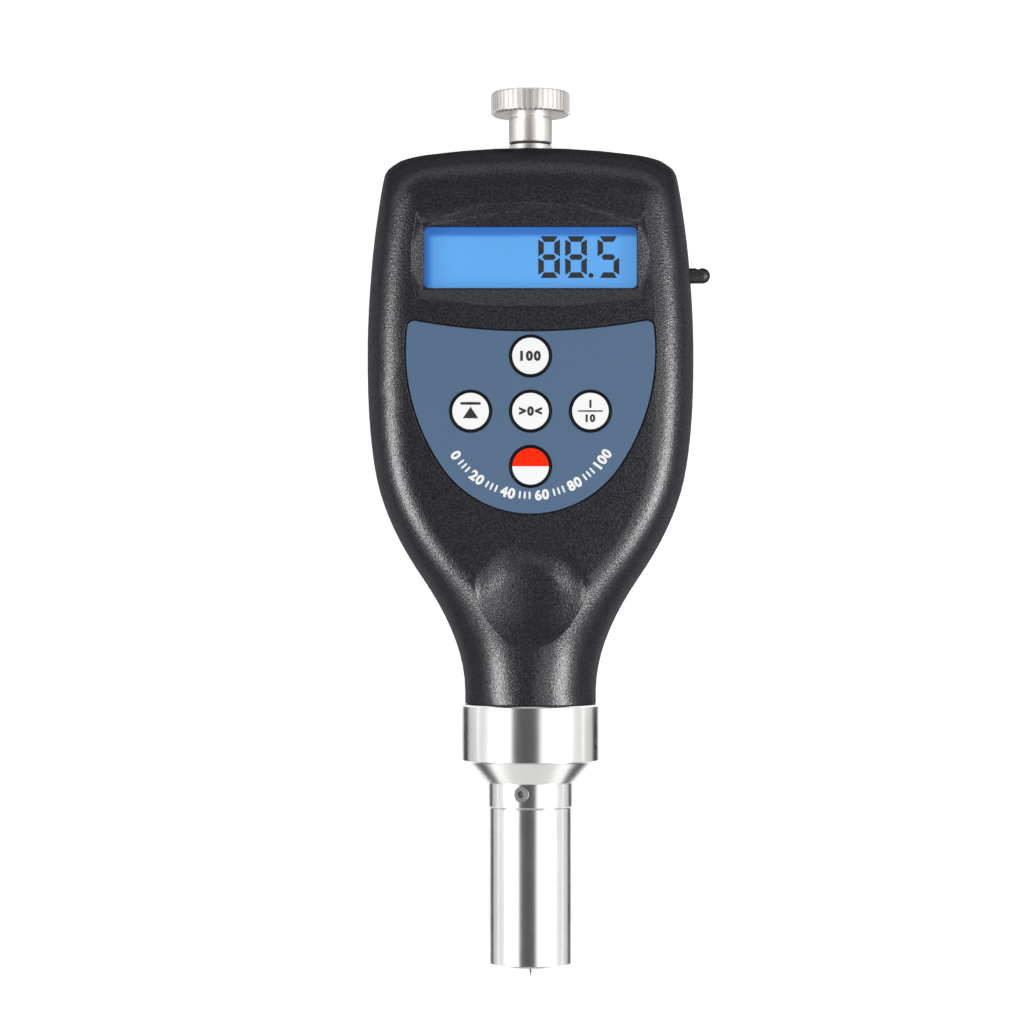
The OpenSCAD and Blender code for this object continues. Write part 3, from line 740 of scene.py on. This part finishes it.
@contextmanager
def picking(piece: bpy.types.Object, wanted: Callable[[Vector], bool]) -> Iterator[None]:
    """Hold an object in edit mode with some of its vertices selected.

    Args:
        piece: The object.
        wanted: Says of a vertex's place whether it is selected.
    """
    with editing(piece):
        bpy.ops.mesh.select_mode(type="VERT")
        bpy.ops.mesh.select_all(action="DESELECT")
    for vertex in piece.data.vertices:
        vertex.select = wanted(vertex.co)
    with editing(piece):
        yield


def weld(piece: bpy.types.Object) -> None:
    """Merge the corners that an object's faces share.

    Args:
        piece: The object.
    """
    with editing(piece):
        bpy.ops.mesh.select_all(action="SELECT")
        bpy.ops.mesh.remove_doubles(threshold=WELD)


def copy_of(piece: bpy.types.Object, name: str) -> bpy.types.Object:
    """Copy an object with a mesh of its own.

    Args:
        piece: The object.
        name: Name of the copy.

    Returns:
        The copy.
    """
    made = bpy.data.objects.new(name, piece.data.copy())
    bpy.context.scene.collection.objects.link(made)
    return made


def joined(name: str, pieces: Sequence[bpy.types.Object]) -> bpy.types.Object:
    """Join objects into one.

    Args:
        name: Name of the whole.
        pieces: The objects.

    Returns:
        The whole.
    """
    bare()
    for piece in pieces:
        piece.select_set(True)
    bpy.context.view_layer.objects.active = pieces[0]
    if len(pieces) > 1:
        bpy.ops.object.join()
    whole = bpy.context.view_layer.objects.active
    whole.name = name
    whole.data.name = name
    return whole


def printed(words: str, height: float, weight: float, spread: float) -> bpy.types.Object:
    """Thin raised figures about the origin, read from +z.

    Args:
        words: The figures.
        height: Their height, in metres.
        weight: How much their strokes are thickened, as a share of their size.
        spread: Space from one figure to the next, as a factor.

    Returns:
        The figures as a mesh, with the underside at z = 0.
    """
    bare()
    bpy.ops.object.text_add(location=(0, 0, 0))
    text = bpy.context.object
    text.data.body = words
    text.data.resolution_u = 6
    text.data.offset = weight
    text.data.space_character = spread
    text.data.extrude = 0.5
    bpy.ops.object.convert(target="MESH")
    made = bpy.context.object
    corners = [vertex.co.copy() for vertex in made.data.vertices]
    low = Vector(min(c[i] for c in corners) for i in range(3))
    high = Vector(max(c[i] for c in corners) for i in range(3))
    middle = (low + high) / 2
    scale = height / (high.y - low.y)
    made.scale = (scale, scale, INK_H)
    made.location = (-middle.x * scale, -middle.y * scale, INK_H / 2)
    return settle(made)


def bar(length: float, width: float, height: float = INK_H, sides: int = 12) -> bpy.types.Object:
    """Thin bar along x with rounded ends, about the origin.

    Args:
        length: Its length, in metres.
        width: Its width, in metres.
        height: Its height above z = 0, in metres.
        sides: Number of flats round its two ends.

    Returns:
        The bar.
    """
    bare()
    middle = (0, 0, height / 2)
    bpy.ops.mesh.primitive_cylinder_add(vertices=sides, radius=width / 2, depth=height, location=middle)
    made = settle(bpy.context.object)
    for side in (-1, 1):
        with picking(made, lambda co, s=side: co.x * s > NEAR):
            bpy.ops.transform.translate(value=(side * (length - width) / 2, 0, 0))
    return made


def put(piece: bpy.types.Object, place: Point, turn: float = 0.0) -> bpy.types.Object:
    """Move an object and turn it about z, with the result in its mesh.

    Args:
        piece: The object, at the origin.
        place: Where it goes, in metres.
        turn: Angle about z, in radians.

    Returns:
        The object.
    """
    piece.location = place
    piece.rotation_euler = (0, 0, turn)
    return settle(piece)


def top_of(node: str) -> Point:
    """Middle of a CAD node's front face.

    Args:
        node: Name of the node.

    Returns:
        The point, in metres.
    """
    low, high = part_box(node)
    return ((low.x + high.x) / 2, (low.y + high.y) / 2, high.z)


def dress(piece: bpy.types.Object, material: bpy.types.Material) -> None:
    """Give an object one material.

    Args:
        piece: The object.
        material: The material.
    """
    if not piece.material_slots:
        piece.data.materials.append(material)
    for slot in piece.material_slots:
        slot.material = material


def seat(piece: bpy.types.Object, body: Body, material: bpy.types.Material) -> None:
    """Dress a new piece and let it ride on its body.

    Args:
        piece: The piece, in place.
        body: The body that carries it.
        material: Its material.
    """
    dress(piece, material)
    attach(piece, body.value)
    log.info("%s: %d faces on %s", piece.name, len(piece.data.polygons), body.value)


@dataclass
class CaseShell:
    """Front cover, rear cover and battery door as smooth moulded skins."""

    smooth_angle: float = math.radians(24)
    dish_r: float = 11.3 * MM
    dish_deep: float = 3 * MM
    dish_below: float = 15.9 * MM
    mesh_step: float = 0.6 * MM
    run_out: float = 6.5 * MM
    run_out_y: tuple[float, float] = (-1 * MM, 6 * MM)
    shallow: float = 0.2
    shallow_reach: float = 3 * MM
    pocket_deep: float = 1.6 * MM
    pocket_side: float = 1.3 * MM
    pocket_above: float = 3.2 * MM
    pocket_frame: float = 1.2 * MM
    pocket_half: float = 22.25 * MM
    pocket_bow: float = 1.75 * MM
    film_passes: int = 300
    film_pull: float = 0.5
    slope_lean: float = 0.3
    slack: float = 0.05 * MM
    ball_slack: float = 0.03 * MM
    skins: dict[str, bpy.types.Object] = field(default_factory=dict)

    @staticmethod
    def ramp(value: float, low: float, high: float) -> float:
        """Rise smoothly from 0 at low to 1 at high.

        Args:
            value: Where on the ramp.
            low: Where it starts.
            high: Where it ends.

        Returns:
            The height there.
        """
        part = min(1.0, max(0.0, (value - low) / (high - low)))
        return part * part * (3 - 2 * part)

    def divide(
        self,
        made: bpy.types.Object,
        wanted: Callable[[Vector, list[Vector]], bool],
        low: Vector,
        high: Vector,
    ) -> None:
        """Cut some faces of a skin into a fine even grid, and leave the rest of it hidden.

        Args:
            made: The skin.
            wanted: Says of a face's normal and corners whether it is cut.
            low: Lowest corner of the grid.
            high: Highest corner of the grid.
        """
        with editing(made):
            bpy.ops.mesh.select_mode(type="FACE")
            bpy.ops.mesh.select_all(action="DESELECT")
        for side in made.data.polygons:
            side.select = wanted(side.normal, [made.data.vertices[index].co for index in side.vertices])
        with editing(made):
            bpy.ops.mesh.hide(unselected=True)
            for way, axis in enumerate((Vector((1, 0, 0)), Vector((0, 1, 0)))):
                for place in range(round((high[way] - low[way]) / self.mesh_step) + 1):
                    bpy.ops.mesh.select_all(action="SELECT")
                    bpy.ops.mesh.bisect(plane_co=low + axis * (place * self.mesh_step), plane_no=axis)

    @staticmethod
    def reveal(made: bpy.types.Object) -> None:
        """Show the whole of a skin again."""
        with editing(made):
            bpy.ops.mesh.reveal(select=False)

    def ease_dish(self, made: bpy.types.Object) -> None:
        """Let the upper rim of the thumb dish run out into the face.

        Args:
            made: The front cover's skin.
        """
        low_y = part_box("keypad_panel")[0][1]
        middle = Vector((0, low_y - self.dish_below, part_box("front_cover")[1][2]))
        ball_r = (self.dish_r**2 + self.dish_deep**2) / (2 * self.dish_deep)
        ball = middle + Vector((0, 0, ball_r - self.dish_deep))
        reach = Vector((self.dish_r, self.dish_r, 0))

        def in_dish(_: Vector, corners: list[Vector]) -> bool:
            """Say whether a face lies on the ball that the dish is cut with."""
            return all(abs((corner - ball).length - ball_r) < self.ball_slack for corner in corners)

        self.divide(made, in_dish, middle - reach, middle + reach)
        for vertex in made.data.vertices:
            if vertex.hide:
                continue
            place = vertex.co - middle
            inside = self.dish_r - math.hypot(place.x, place.y)
            upper = self.ramp(place.y, *self.run_out_y)
            eased = 1 - upper * (1 - self.ramp(inside, 0, self.run_out))
            flatter = 1 - self.shallow * self.ramp(inside, 0, self.shallow_reach)
            vertex.co.z = middle.z + place.z * eased * flatter
        self.reveal(made)

    def ease_pocket(self, made: bpy.types.Object) -> None:
        """Draw the slope above the display as one smooth film, under an arched edge.

        Args:
            made: The front cover's skin.
        """
        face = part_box("front_cover")[1][2]
        low, high = (Vector(corner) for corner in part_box("display_window"))
        low = Vector((low.x - self.pocket_side, high.y - self.pocket_frame, face - self.pocket_deep))
        high = Vector((high.x + self.pocket_side, high.y + self.pocket_above, face))

        def on_slope(normal: Vector, corners: list[Vector]) -> bool:
            """Say whether a face is part of the slope above the display.

            Args:
                normal: The face's normal.
                corners: Its corners.

            Returns:
                Whether it is.
            """
            places = [(corner[way], low[way], high[way]) for corner in corners for way in range(3)]
            within = all(least - self.slack < place < most + self.slack for place, least, most in places)
            return within and normal.y < -self.slope_lean and normal.z > self.slope_lean

        self.divide(made, on_slope, low, high)
        for vertex in made.data.vertices:
            arch = high.y - self.pocket_bow * (vertex.co.x / self.pocket_half) ** 2
            on_edge = vertex.co.z > face - self.slack and vertex.co.y > arch - self.pocket_bow / 2
            if on_edge and not vertex.hide:
                vertex.co.y = arch
        with editing(made):
            bpy.ops.mesh.select_all(action="SELECT")
            bpy.ops.mesh.region_to_loop()
            bpy.ops.mesh.select_mode(type="VERT")
            bpy.ops.mesh.select_all(action="INVERT")
            bpy.ops.mesh.vertices_smooth(
                factor=self.film_pull, repeat=self.film_passes, xaxis=False, yaxis=False
            )
        self.reveal(made)

    def skin(self, node: str) -> bpy.types.Object:
        """Make the smooth skin of one CAD node.

        Args:
            node: Name of the node.

        Returns:
            The skin.
        """
        made = hold(copy_of(frame["nodes"][node], node + "_skin"))
        if made.data.has_custom_normals:
            bpy.ops.mesh.customdata_custom_splitnormals_clear()
        weld(made)
        if node == "front_cover":
            self.ease_dish(made)
            self.ease_pocket(made)
        bpy.ops.object.shade_smooth_by_angle(angle=self.smooth_angle)
        weigh = made.modifiers.new("weigh", "WEIGHTED_NORMAL")
        weigh.mode = "FACE_AREA"
        weigh.keep_sharp = True
        bpy.ops.object.modifier_apply(modifier=weigh.name)
        self.skins[node] = made
        return made

    def build(self, plastic: bpy.types.Material) -> None:
        """Make the three skins and dress them.

        Args:
            plastic: The case's material.
        """
        carriers = {"front_cover": Body.CASE, "rear_cover": Body.CASE, "battery_door": Body.DOOR}
        for node, body in carriers.items():
            made = self.skin(node)
            seat(made, body, plastic)
            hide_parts(node)


@dataclass
class DisplayUnit:
    """Figures of the display, measured from its middle."""

    reading: str = "88.5"
    lefts: tuple[float, ...] = (1.53 * MM, 6.83 * MM, 13.2 * MM)
    digit_w: float = 4.28 * MM
    low: float = -3.83 * MM
    high: float = 4.39 * MM
    stroke: float = 1.1 * MM
    side: float = 3.34 * MM
    corner: float = 0.62 * MM
    dot_x: float = 11.92 * MM
    dot_r: float = 0.5 * MM
    height: float = 0.04 * MM
    slant: float = 1.2
    point_room: float = 1.54 * MM
    point: float = 0.38 * MM
    point_end: float = 0.25

    SEGMENTS: ClassVar[Mapping[str, str]] = {"8": "abcdefg", "5": "acdfg"}

    def figure(self, sign: str, left: float, place: Point) -> list[bpy.types.Object]:
        """Lay the segments of one figure.

        Args:
            sign: The figure.
            left: Its left edge, in metres.
            place: Middle of the display's face, in metres.

        Returns:
            Its segments.
        """
        half = self.stroke / 2
        right, middle = left + self.digit_w, (self.low + self.high) / 2
        centre = (left + right) / 2
        upper, lower = self.high - self.corner - self.side / 2, self.low + self.corner + self.side / 2
        laid = {
            "a": (centre, self.high - half, 0),
            "b": (right - half, upper, -90),
            "c": (right - half, lower, -90),
            "d": (centre, self.low + half, 180),
            "e": (left + half, lower, 90),
            "f": (left + half, upper, 90),
            "g": (centre, middle, 0),
        }
        made = []
        for name in self.SEGMENTS[sign]:
            x, y, turn = laid[name]
            piece = self.pointed() if name == "g" else self.slanted()
            made.append(put(piece, (place[0] + x, place[1] + y, place[2]), math.radians(turn)))
        return made

    def block(self, length: float) -> bpy.types.Object:
        """Start a segment as a block along x, about the origin.

        Args:
            length: Its length, in metres.

        Returns:
            The block.
        """
        bare()
        bpy.ops.mesh.primitive_cube_add(size=1.0, location=(0, 0, self.height / 2))
        made = bpy.context.object
        made.scale = (length, self.stroke, self.height)
        return settle(made)

    def slanted(self) -> bpy.types.Object:
        """Model one segment along x with its long side towards +y, about the origin.

        Returns:
            The segment.
        """
        made = self.block(self.side)
        shorter = 1.0 - self.slant * self.stroke / self.side
        with picking(made, lambda co: co.y < 0):
            bpy.ops.transform.resize(value=(shorter, 1.0, 1.0), center_override=(0, 0, 0))
        return made

    def pointed(self) -> bpy.types.Object:
        """Model the middle segment along x with pointed ends, about the origin.

        Returns:
            The segment.
        """
        flat = self.side - self.point_room
        made = self.block(flat)
        for side in (-1, 1):
            end = side * flat / 2
            outwards = {"value": (side * self.point, 0, 0)}
            with picking(made, lambda co, e=end: abs(co.x - e) < NEAR):
                bpy.ops.mesh.extrude_region_move(TRANSFORM_OT_translate=outwards)
                bpy.ops.transform.resize(value=(1.0, self.point_end, 1.0), center_override=(end, 0, 0))
        return made

    def build(self, ink: bpy.types.Material) -> None:
        """Lay the reading on the display's face.

        Args:
            ink: The figures' material.
        """
        place = top_of("display_glass")
        figures = []
        signs = [s for s in self.reading if s != "."]
        for sign, left in zip(signs, self.lefts):
            figures += self.figure(sign, left, place)
        dot = bar(2.0 * self.dot_r, 2.0 * self.dot_r, self.height)
        figures.append(put(dot, (place[0] + self.dot_x, place[1] + self.low + self.dot_r, place[2])))
        seat(joined("display_figures", figures), Body.CASE, ink)


@dataclass
class Keypad:
    """Marks on the keys and the printed scale on the panel."""

    keys: tuple[str, ...] = ("key_top", "key_left", "key_middle", "key_right", "key_power")
    white: Colour = (0.92, 0.925, 0.93)
    red: Colour = (1.0, 0.022, 0.0)
    weight: float = 0.055
    number_h: float = 2.0 * MM
    zero_h: float = 1.9 * MM
    spread: float = 1.25
    fraction_h: float = 1.55 * MM
    fraction_y: float = 1.4 * MM
    fraction_spread: float = 1.2
    fraction_bar: tuple[float, float] = (4.9 * MM, 0.3 * MM)
    peak_bar: tuple[float, float] = (4.0 * MM, 0.55 * MM)
    peak_bar_y: float = 1.5 * MM
    peak_r: float = 1.5 * MM
    peak_y: float = -0.65 * MM
    peak_wide: float = 1.15
    scale_centre: tuple[float, float] = (0.0, 20.4 * MM)
    scale_r: float = 17.45 * MM
    first_angle: float = -149.0
    last_angle: float = -29.0
    figures: tuple[str, ...] = ("0", "20", "40", "60", "80", "100")
    figure_w: float = 1.44 * MM
    figure_h: float = 2.15 * MM
    figure_weight: float = 0.05
    figure_spread: float = 1.1
    tick: tuple[float, float] = (1.5 * MM, 0.42 * MM)
    tick_shares: tuple[float, ...] = (0.25, 0.5, 0.75)

    def caps(self) -> None:
        """Dress the five keys."""
        for node in self.keys:
            upper = self.red if node == "key_power" else self.white
            dress(frame["nodes"][node], KeyCap(node + "_cap", top_of(node), self.white, upper).make())
            log.info("%s dressed", node)

    def mark(
        self, node: str, body: Body, pieces: Sequence[bpy.types.Object], ink: bpy.types.Material
    ) -> None:
        """Set the parts of one mark on its key.

        Args:
            node: The key's node.
            body: The key's body.
            pieces: The parts, laid out about the origin.
            ink: Their material.
        """
        whole = joined(node + "_mark", pieces)
        put(whole, top_of(node))
        seat(whole, body, ink)

    def marks(self, ink: bpy.types.Material) -> None:
        """Make the marks of the four white keys.

        Args:
            ink: Their material.
        """
        number = printed("100", self.number_h, self.weight, self.spread)
        self.mark("key_top", Body.TOP_KEY, [number], ink)
        zero = printed(">0<", self.zero_h, self.weight, self.spread)
        self.mark("key_middle", Body.MIDDLE_KEY, [zero], ink)
        stop = put(bar(*self.peak_bar), (0, self.peak_bar_y, 0))
        self.mark("key_left", Body.LEFT_KEY, [self.peak(), stop], ink)
        style = (self.fraction_h, self.weight, self.fraction_spread)
        over = put(printed("1", *style), (0, self.fraction_y, 0))
        under = put(printed("10", *style), (0, -self.fraction_y, 0))
        self.mark("key_right", Body.RIGHT_KEY, [over, under, bar(*self.fraction_bar)], ink)

    def peak(self) -> bpy.types.Object:
        """Model a triangle that points up.

        Returns:
            The triangle.
        """
        bare()
        middle = (0, self.peak_y, INK_H / 2)
        bpy.ops.mesh.primitive_cylinder_add(vertices=3, radius=self.peak_r, depth=INK_H, location=middle)
        made = settle(bpy.context.object)
        with picking(made, lambda co: True):
            bpy.ops.transform.resize(value=(self.peak_wide, 1.0, 1.0), center_override=(0, self.peak_y, 0))
        return made

    def scale(self, ink: bpy.types.Material) -> None:
        """Lay a plain scale of figures and ticks round the panel's lower end.

        Args:
            ink: Its material.
        """
        centre = (*self.scale_centre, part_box("keypad_panel")[1].z)
        tick = bar(*self.tick)
        widths = [math.degrees(self.figure_w * len(words) / self.scale_r) for words in self.figures]
        gap = (self.last_angle - self.first_angle - sum(widths)) / (len(widths) - 1)
        angle, parts = self.first_angle, []
        for words, width in zip(self.figures, widths):
            figure = printed(words, self.figure_h, self.figure_weight, self.figure_spread)
            parts.append(self.around(figure, angle + width / 2, 90.0, centre))
            angle += width
            if words != self.figures[-1]:
                for share in self.tick_shares:
                    parts.append(self.around(copy_of(tick, "tick"), angle + share * gap, 0.0, centre))
            angle += gap
        bpy.data.objects.remove(tick)
        seat(joined("panel_scale", parts), Body.CASE, ink)

    def around(
        self, piece: bpy.types.Object, angle: float, lean: float, centre: Point
    ) -> bpy.types.Object:
        """Place a piece on the scale's arc.

        Args:
            piece: The piece, about the origin.
            angle: Its place on the arc, in degrees.
            lean: Its own turn from the arc's radius, in degrees.
            centre: Centre of the arc, in metres.

        Returns:
            The piece.
        """
        turn = math.radians(angle)
        x, y = self.scale_r * math.cos(turn), self.scale_r * math.sin(turn)
        return put(piece, (centre[0] + x, centre[1] + y, centre[2]), math.radians(angle + lean))

    def build(self, ink: bpy.types.Material, white: bpy.types.Material) -> None:
        """Dress the keys and lay their marks and the scale.

        Args:
            ink: The marks' material.
            white: The scale's material.
        """
        self.caps()
        self.marks(ink)
        self.scale(white)


@dataclass
class LoadSpring:
    """Coil that pushes the needle out."""

    node: str = "load_spring"
    joint: str = "indenter_travel"
    smooth_angle: float = math.radians(50)

    def build(self, steel: bpy.types.Material) -> None:
        """Make the coil in place of the CAD spring.

        Args:
            steel: The coil's material.
        """
        coil = copy_of(frame["nodes"][self.node], "load_coil")
        weld(coil)
        bpy.ops.object.shade_smooth_by_angle(angle=self.smooth_angle)
        seat(coil, Body.CASE, steel)
        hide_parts(self.node)
        travel = next(joint for joint in frame["joints"] if joint["name"] == self.joint)["range_m"][1]
        seat_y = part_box("load_adjuster")[0][1]
        length = seat_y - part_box(self.node)[0][1]
        1 - travel / length
        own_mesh(coil)


@dataclass
class CarriedParts:
    """CAD nodes that stay and get a better finish."""

    finishes: dict[str, bpy.types.Material] = field(default_factory=dict)

    def build(self, done: Sequence[str]) -> None:
        """Dress every node that nothing else has dressed, by its slot in the record.

        Args:
            done: Nodes that are dressed or replaced already.
        """
        for part in frame["record"]["subparts"]:
            node = part["node"]
            if node in done:
                continue
            dress(frame["nodes"][node], self.finishes[part["material_slot"]])
            log.info("%s dressed as %s", node, part["material_slot"])


@dataclass(frozen=True)
class Card:
    """A card on the floor that paints reflections: its tone from 0 to 1, and its middle and size in x and y, in
    metres.
    """

    tone: float
    place: tuple[float, float]
    size: tuple[float, float]


@dataclass(frozen=True)
class SoftBox:
    """A soft box over the object.

    It leans from straight above towards +x by an angle in degrees. Its width across the object, its
    length and the place of its middle along y are in metres, and its radiance is a share of the usual one.
    """

    name: str
    lean: float
    width: float
    length: float
    ahead: float
    share: float


@dataclass
class Studio:
    """Camera, pale floor, cards that show in reflections, soft boxes and surroundings."""

    eye: Point = (-0.0001, -0.0126, 0.5948)
    aim: Point = (-0.0037, 0.0, 0.0148)
    lens: float = 101.95
    sensor: float = 36.0
    clip: tuple[float, float] = (0.01, 50.0)
    floor_r: float = 4.0
    floor_z: float = -0.3 * MM
    floor_tone: float = 0.8
    floor_glow: float = 0.7
    distance: float = 0.6
    box_radiance: float = 9.6
    fill: float = 0.12
    zenith: float = 0.1
    horizon: float = 0.9
    sky_step: tuple[float, float] = (0.3, 0.85)
    # Every card is a painted reflection: hidden from the eye, from diffuse light and from shadows, it shows in
    # glossy reflections alone. The near-black cards paint dark lines into the probe's metal; the grey ones paint a
    # dimmer floor into reflections around the probe and the knob.
    cards: tuple[Card, ...] = (
        Card(0.01, (-0.04, -0.081), (0.0205, 0.086)),
        Card(0.7, (-0.15, -0.081), (0.199, 0.086)),
        Card(0.01, (0.04, -0.081), (0.0205, 0.086)),
        Card(0.7, (0.15, -0.081), (0.199, 0.086)),
        Card(0.5, (0.0, 0.105), (0.5, 0.058)),
        Card(0.5, (0.0, -0.45), (0.13, 0.6)),
    )
    boxes: tuple[SoftBox, ...] = (
        SoftBox("box_left", -54.0, 0.2, 0.4, -0.1, 0.95),
        SoftBox("box_right", 52.0, 0.2, 0.4, -0.1, 1.05),
        SoftBox("screen_left", -37.0, 0.156, 0.5, -0.05, 0.133),
        SoftBox("screen_right", 28.0, 0.3, 0.5, -0.05, 0.133),
    )

    def camera(self) -> None:
        """Set the camera over the face, with +y up in the picture."""
        data = bpy.data.cameras.new("camera")
        data.lens = self.lens
        data.sensor_width = self.sensor
        data.clip_start, data.clip_end = self.clip
        camera = bpy.data.objects.new("camera", data)
        ahead = (Vector(self.aim) - Vector(self.eye)).normalized()
        right = ahead.cross(Vector((0, 1, 0))).normalized()
        up = right.cross(ahead)
        turn = Matrix((right, up, -ahead)).transposed()
        camera.matrix_world = Matrix.Translation(self.eye) @ turn.to_4x4()
        bpy.context.scene.collection.objects.link(camera)
        bpy.context.scene.camera = camera

    def floor(self) -> None:
        """Lay the floor, white to the eye and in reflections, with the object's shadow."""
        bare()
        bpy.ops.mesh.primitive_circle_add(
            vertices=64, radius=self.floor_r, fill_type="NGON", location=(0, 0, self.floor_z)
        )
        floor = settle(bpy.context.object)
        floor.name = "floor"
        graph = Graph.of_material("floor_white")
        strength = graph.seen() * self.floor_glow
        matte = graph.node("ShaderNodeBsdfDiffuse", None, {"Color": grey(self.floor_tone)})
        glow = graph.node("ShaderNodeEmission", None, {"Color": grey(1.0), "Strength": strength})
        both = graph.node("ShaderNodeAddShader", None, {0: matte.outputs[0], 1: glow.outputs[0]})
        graph.node("ShaderNodeOutputMaterial", None, {"Surface": both.outputs[0]})
        dress(floor, graph.material)

    def lay(self, plan: Card) -> None:
        """Lay one card on the floor that shows in reflections alone.

        Args:
            plan: The card.
        """
        bare()
        bpy.ops.mesh.primitive_plane_add(size=1.0, location=(*plan.place, 0.0))
        card = bpy.context.object
        card.scale = (*plan.size, 1.0)
        settle(card).name = "card"
        graph = Graph.of_material("card")
        matte = graph.node("ShaderNodeBsdfDiffuse", None, {"Color": grey(plan.tone)})
        graph.node("ShaderNodeOutputMaterial", None, {"Surface": matte.outputs[0]})
        dress(card, graph.material)
        # The card is a painted reflection: it is seen in glossy reflections alone.
        card.visible_camera = False
        card.visible_diffuse = False
        card.visible_transmission = False
        card.visible_shadow = False

    def hang(self, plan: SoftBox) -> None:
        """Hang one soft box over the object, facing it.

        Args:
            plan: The soft box.
        """
        data = bpy.data.lights.new(plan.name, "AREA")
        data.shape = "RECTANGLE"
        data.size = plan.width
        data.size_y = plan.length
        data.energy = self.box_radiance * plan.share * math.pi * plan.width * plan.length
        lamp = bpy.data.objects.new(plan.name, data)
        lean = math.radians(plan.lean)
        across, above = self.distance * math.sin(lean), self.distance * math.cos(lean)
        lamp.location = (across, plan.ahead, AXIS_Z + above)
        lamp.rotation_euler = (math.atan2(-plan.ahead, self.distance), lean, 0)
        bpy.context.scene.collection.objects.link(lamp)

    def surroundings(self) -> None:
        """Make the world: pale at the horizon and darker overhead in reflections, even as a light."""
        world = bpy.data.worlds.new("surroundings")
        world.use_nodes = True
        bpy.context.scene.world = world
        graph = Graph(world.node_tree)
        where = graph.node("ShaderNodeTexCoord").outputs["Generated"]
        height = Value(graph, graph.node("ShaderNodeSeparateXYZ", None, {0: where}).outputs[2])
        shown = self.horizon + (self.zenith - self.horizon) * height.step(*self.sky_step)
        strength = self.fill + graph.seen() * (shown - self.fill)
        back = graph.node("ShaderNodeBackground", None, {"Color": grey(1.0), "Strength": strength})
        graph.node("ShaderNodeOutputWorld", None, {"Surface": back.outputs[0]})

    def build(self) -> None:
        """Set up the whole studio."""
        self.camera()
        self.floor()
        for card in self.cards:
            self.lay(card)
        for box in self.boxes:
            self.hang(box)
        self.surroundings()
        bpy.context.scene.view_settings.view_transform = "Standard"


def finishes() -> dict[str, bpy.types.Material]:
    """Make one material for each slot of the record.

    Returns:
        The materials by slot.
    """
    made = (
        MouldedPlastic("case_plastic", (0.018, 0.0185, 0.024), 0.22),
        PressedMetal("screw_steel", (0.6, 0.6, 0.6), 0.32),
        ClearPlate("window_clear", (0.02, 0.025, 0.03), alpha=0.04),
        # The display's shaded colour is painted shade under its window's top and left edges.
        BacklitPanel(
            "display_blue",
            lit=(0.118, 0.405, 0.88),
            shaded=(0.03, 0.165, 0.58),
            left=-20.9 * MM,
            top=55.65 * MM,
            band=2.1 * MM,
        ),
        Film("white_plastic", (0.85, 0.85, 0.83), 0.45),
        Film("panel_film", (0.078, 0.143, 0.241), 0.5),
        Film("board_green", (0.02, 0.12, 0.05), 0.35),
        MouldedPlastic("chip_black", (0.02, 0.02, 0.022), 0.5, grain=0.15 * MM, depth=0.01 * MM, fleck=0.2),
        CellJacket(
            "cell_jacket",
            body=(0.03, 0.03, 0.035),
            band=(0.5, 0.24, 0.08),
            split_y=46 * MM,
            low_y=15.2 * MM,
            high_y=63.8 * MM,
        ),
        MouldedPlastic("plug_rubber", (0.018, 0.018, 0.02), 0.42, grain=0.2 * MM, depth=0.012 * MM),
        TurnedMetal("probe_steel", (0.78, 0.775, 0.765), 0.2),
        PressedMetal("screw_dark", (0.45, 0.44, 0.43), 0.3),
        TurnedMetal("needle_steel", (0.76, 0.76, 0.77), 0.16, pitch=0.08 * MM, depth=0.002 * MM),
        TurnedMetal("turned_brass", (0.72, 0.5, 0.2), 0.25),
        TurnedMetal("winding_copper", (0.6, 0.25, 0.1), 0.3, pitch=0.2 * MM, depth=0.02 * MM, strength=0.6),
        MouldedPlastic("core_ferrite", (0.08, 0.08, 0.085), 0.6, grain=0.1 * MM, depth=0.01 * MM, fleck=0.2),
        TurnedMetal("knob_nickel", (0.82, 0.795, 0.77), 0.42, pitch=0.1 * MM),
    )
    return {finish.name: finish.make() for finish in made}


def main() -> None:
    """Build the object's pieces in order, then the studio."""
    logging.basicConfig(level=logging.INFO, format="%(name)s: %(message)s")
    made = finishes()
    print_grain = {"grain": 0.1 * MM, "depth": 0.002 * MM, "fleck": 0.1}
    ink = MouldedPlastic("figure_ink", (0.008, 0.008, 0.012), 0.6, **print_grain).make()
    mark = MouldedPlastic("mark_ink", (0.005, 0.005, 0.006), 0.5, **print_grain).make()
    shell = CaseShell()
    shell.build(made[Slot.CASE.value])
    DisplayUnit().build(ink)
    keypad = Keypad()
    keypad.build(mark, Film("scale_white", (0.88, 0.89, 0.9), 0.5).make())
    spring = LoadSpring()
    spring.build(made[Slot.NEEDLE.value])
    CarriedParts(made).build([*shell.skins, *keypad.keys, spring.node])
    Studio().build()


if __name__ == "__main__":
    main()
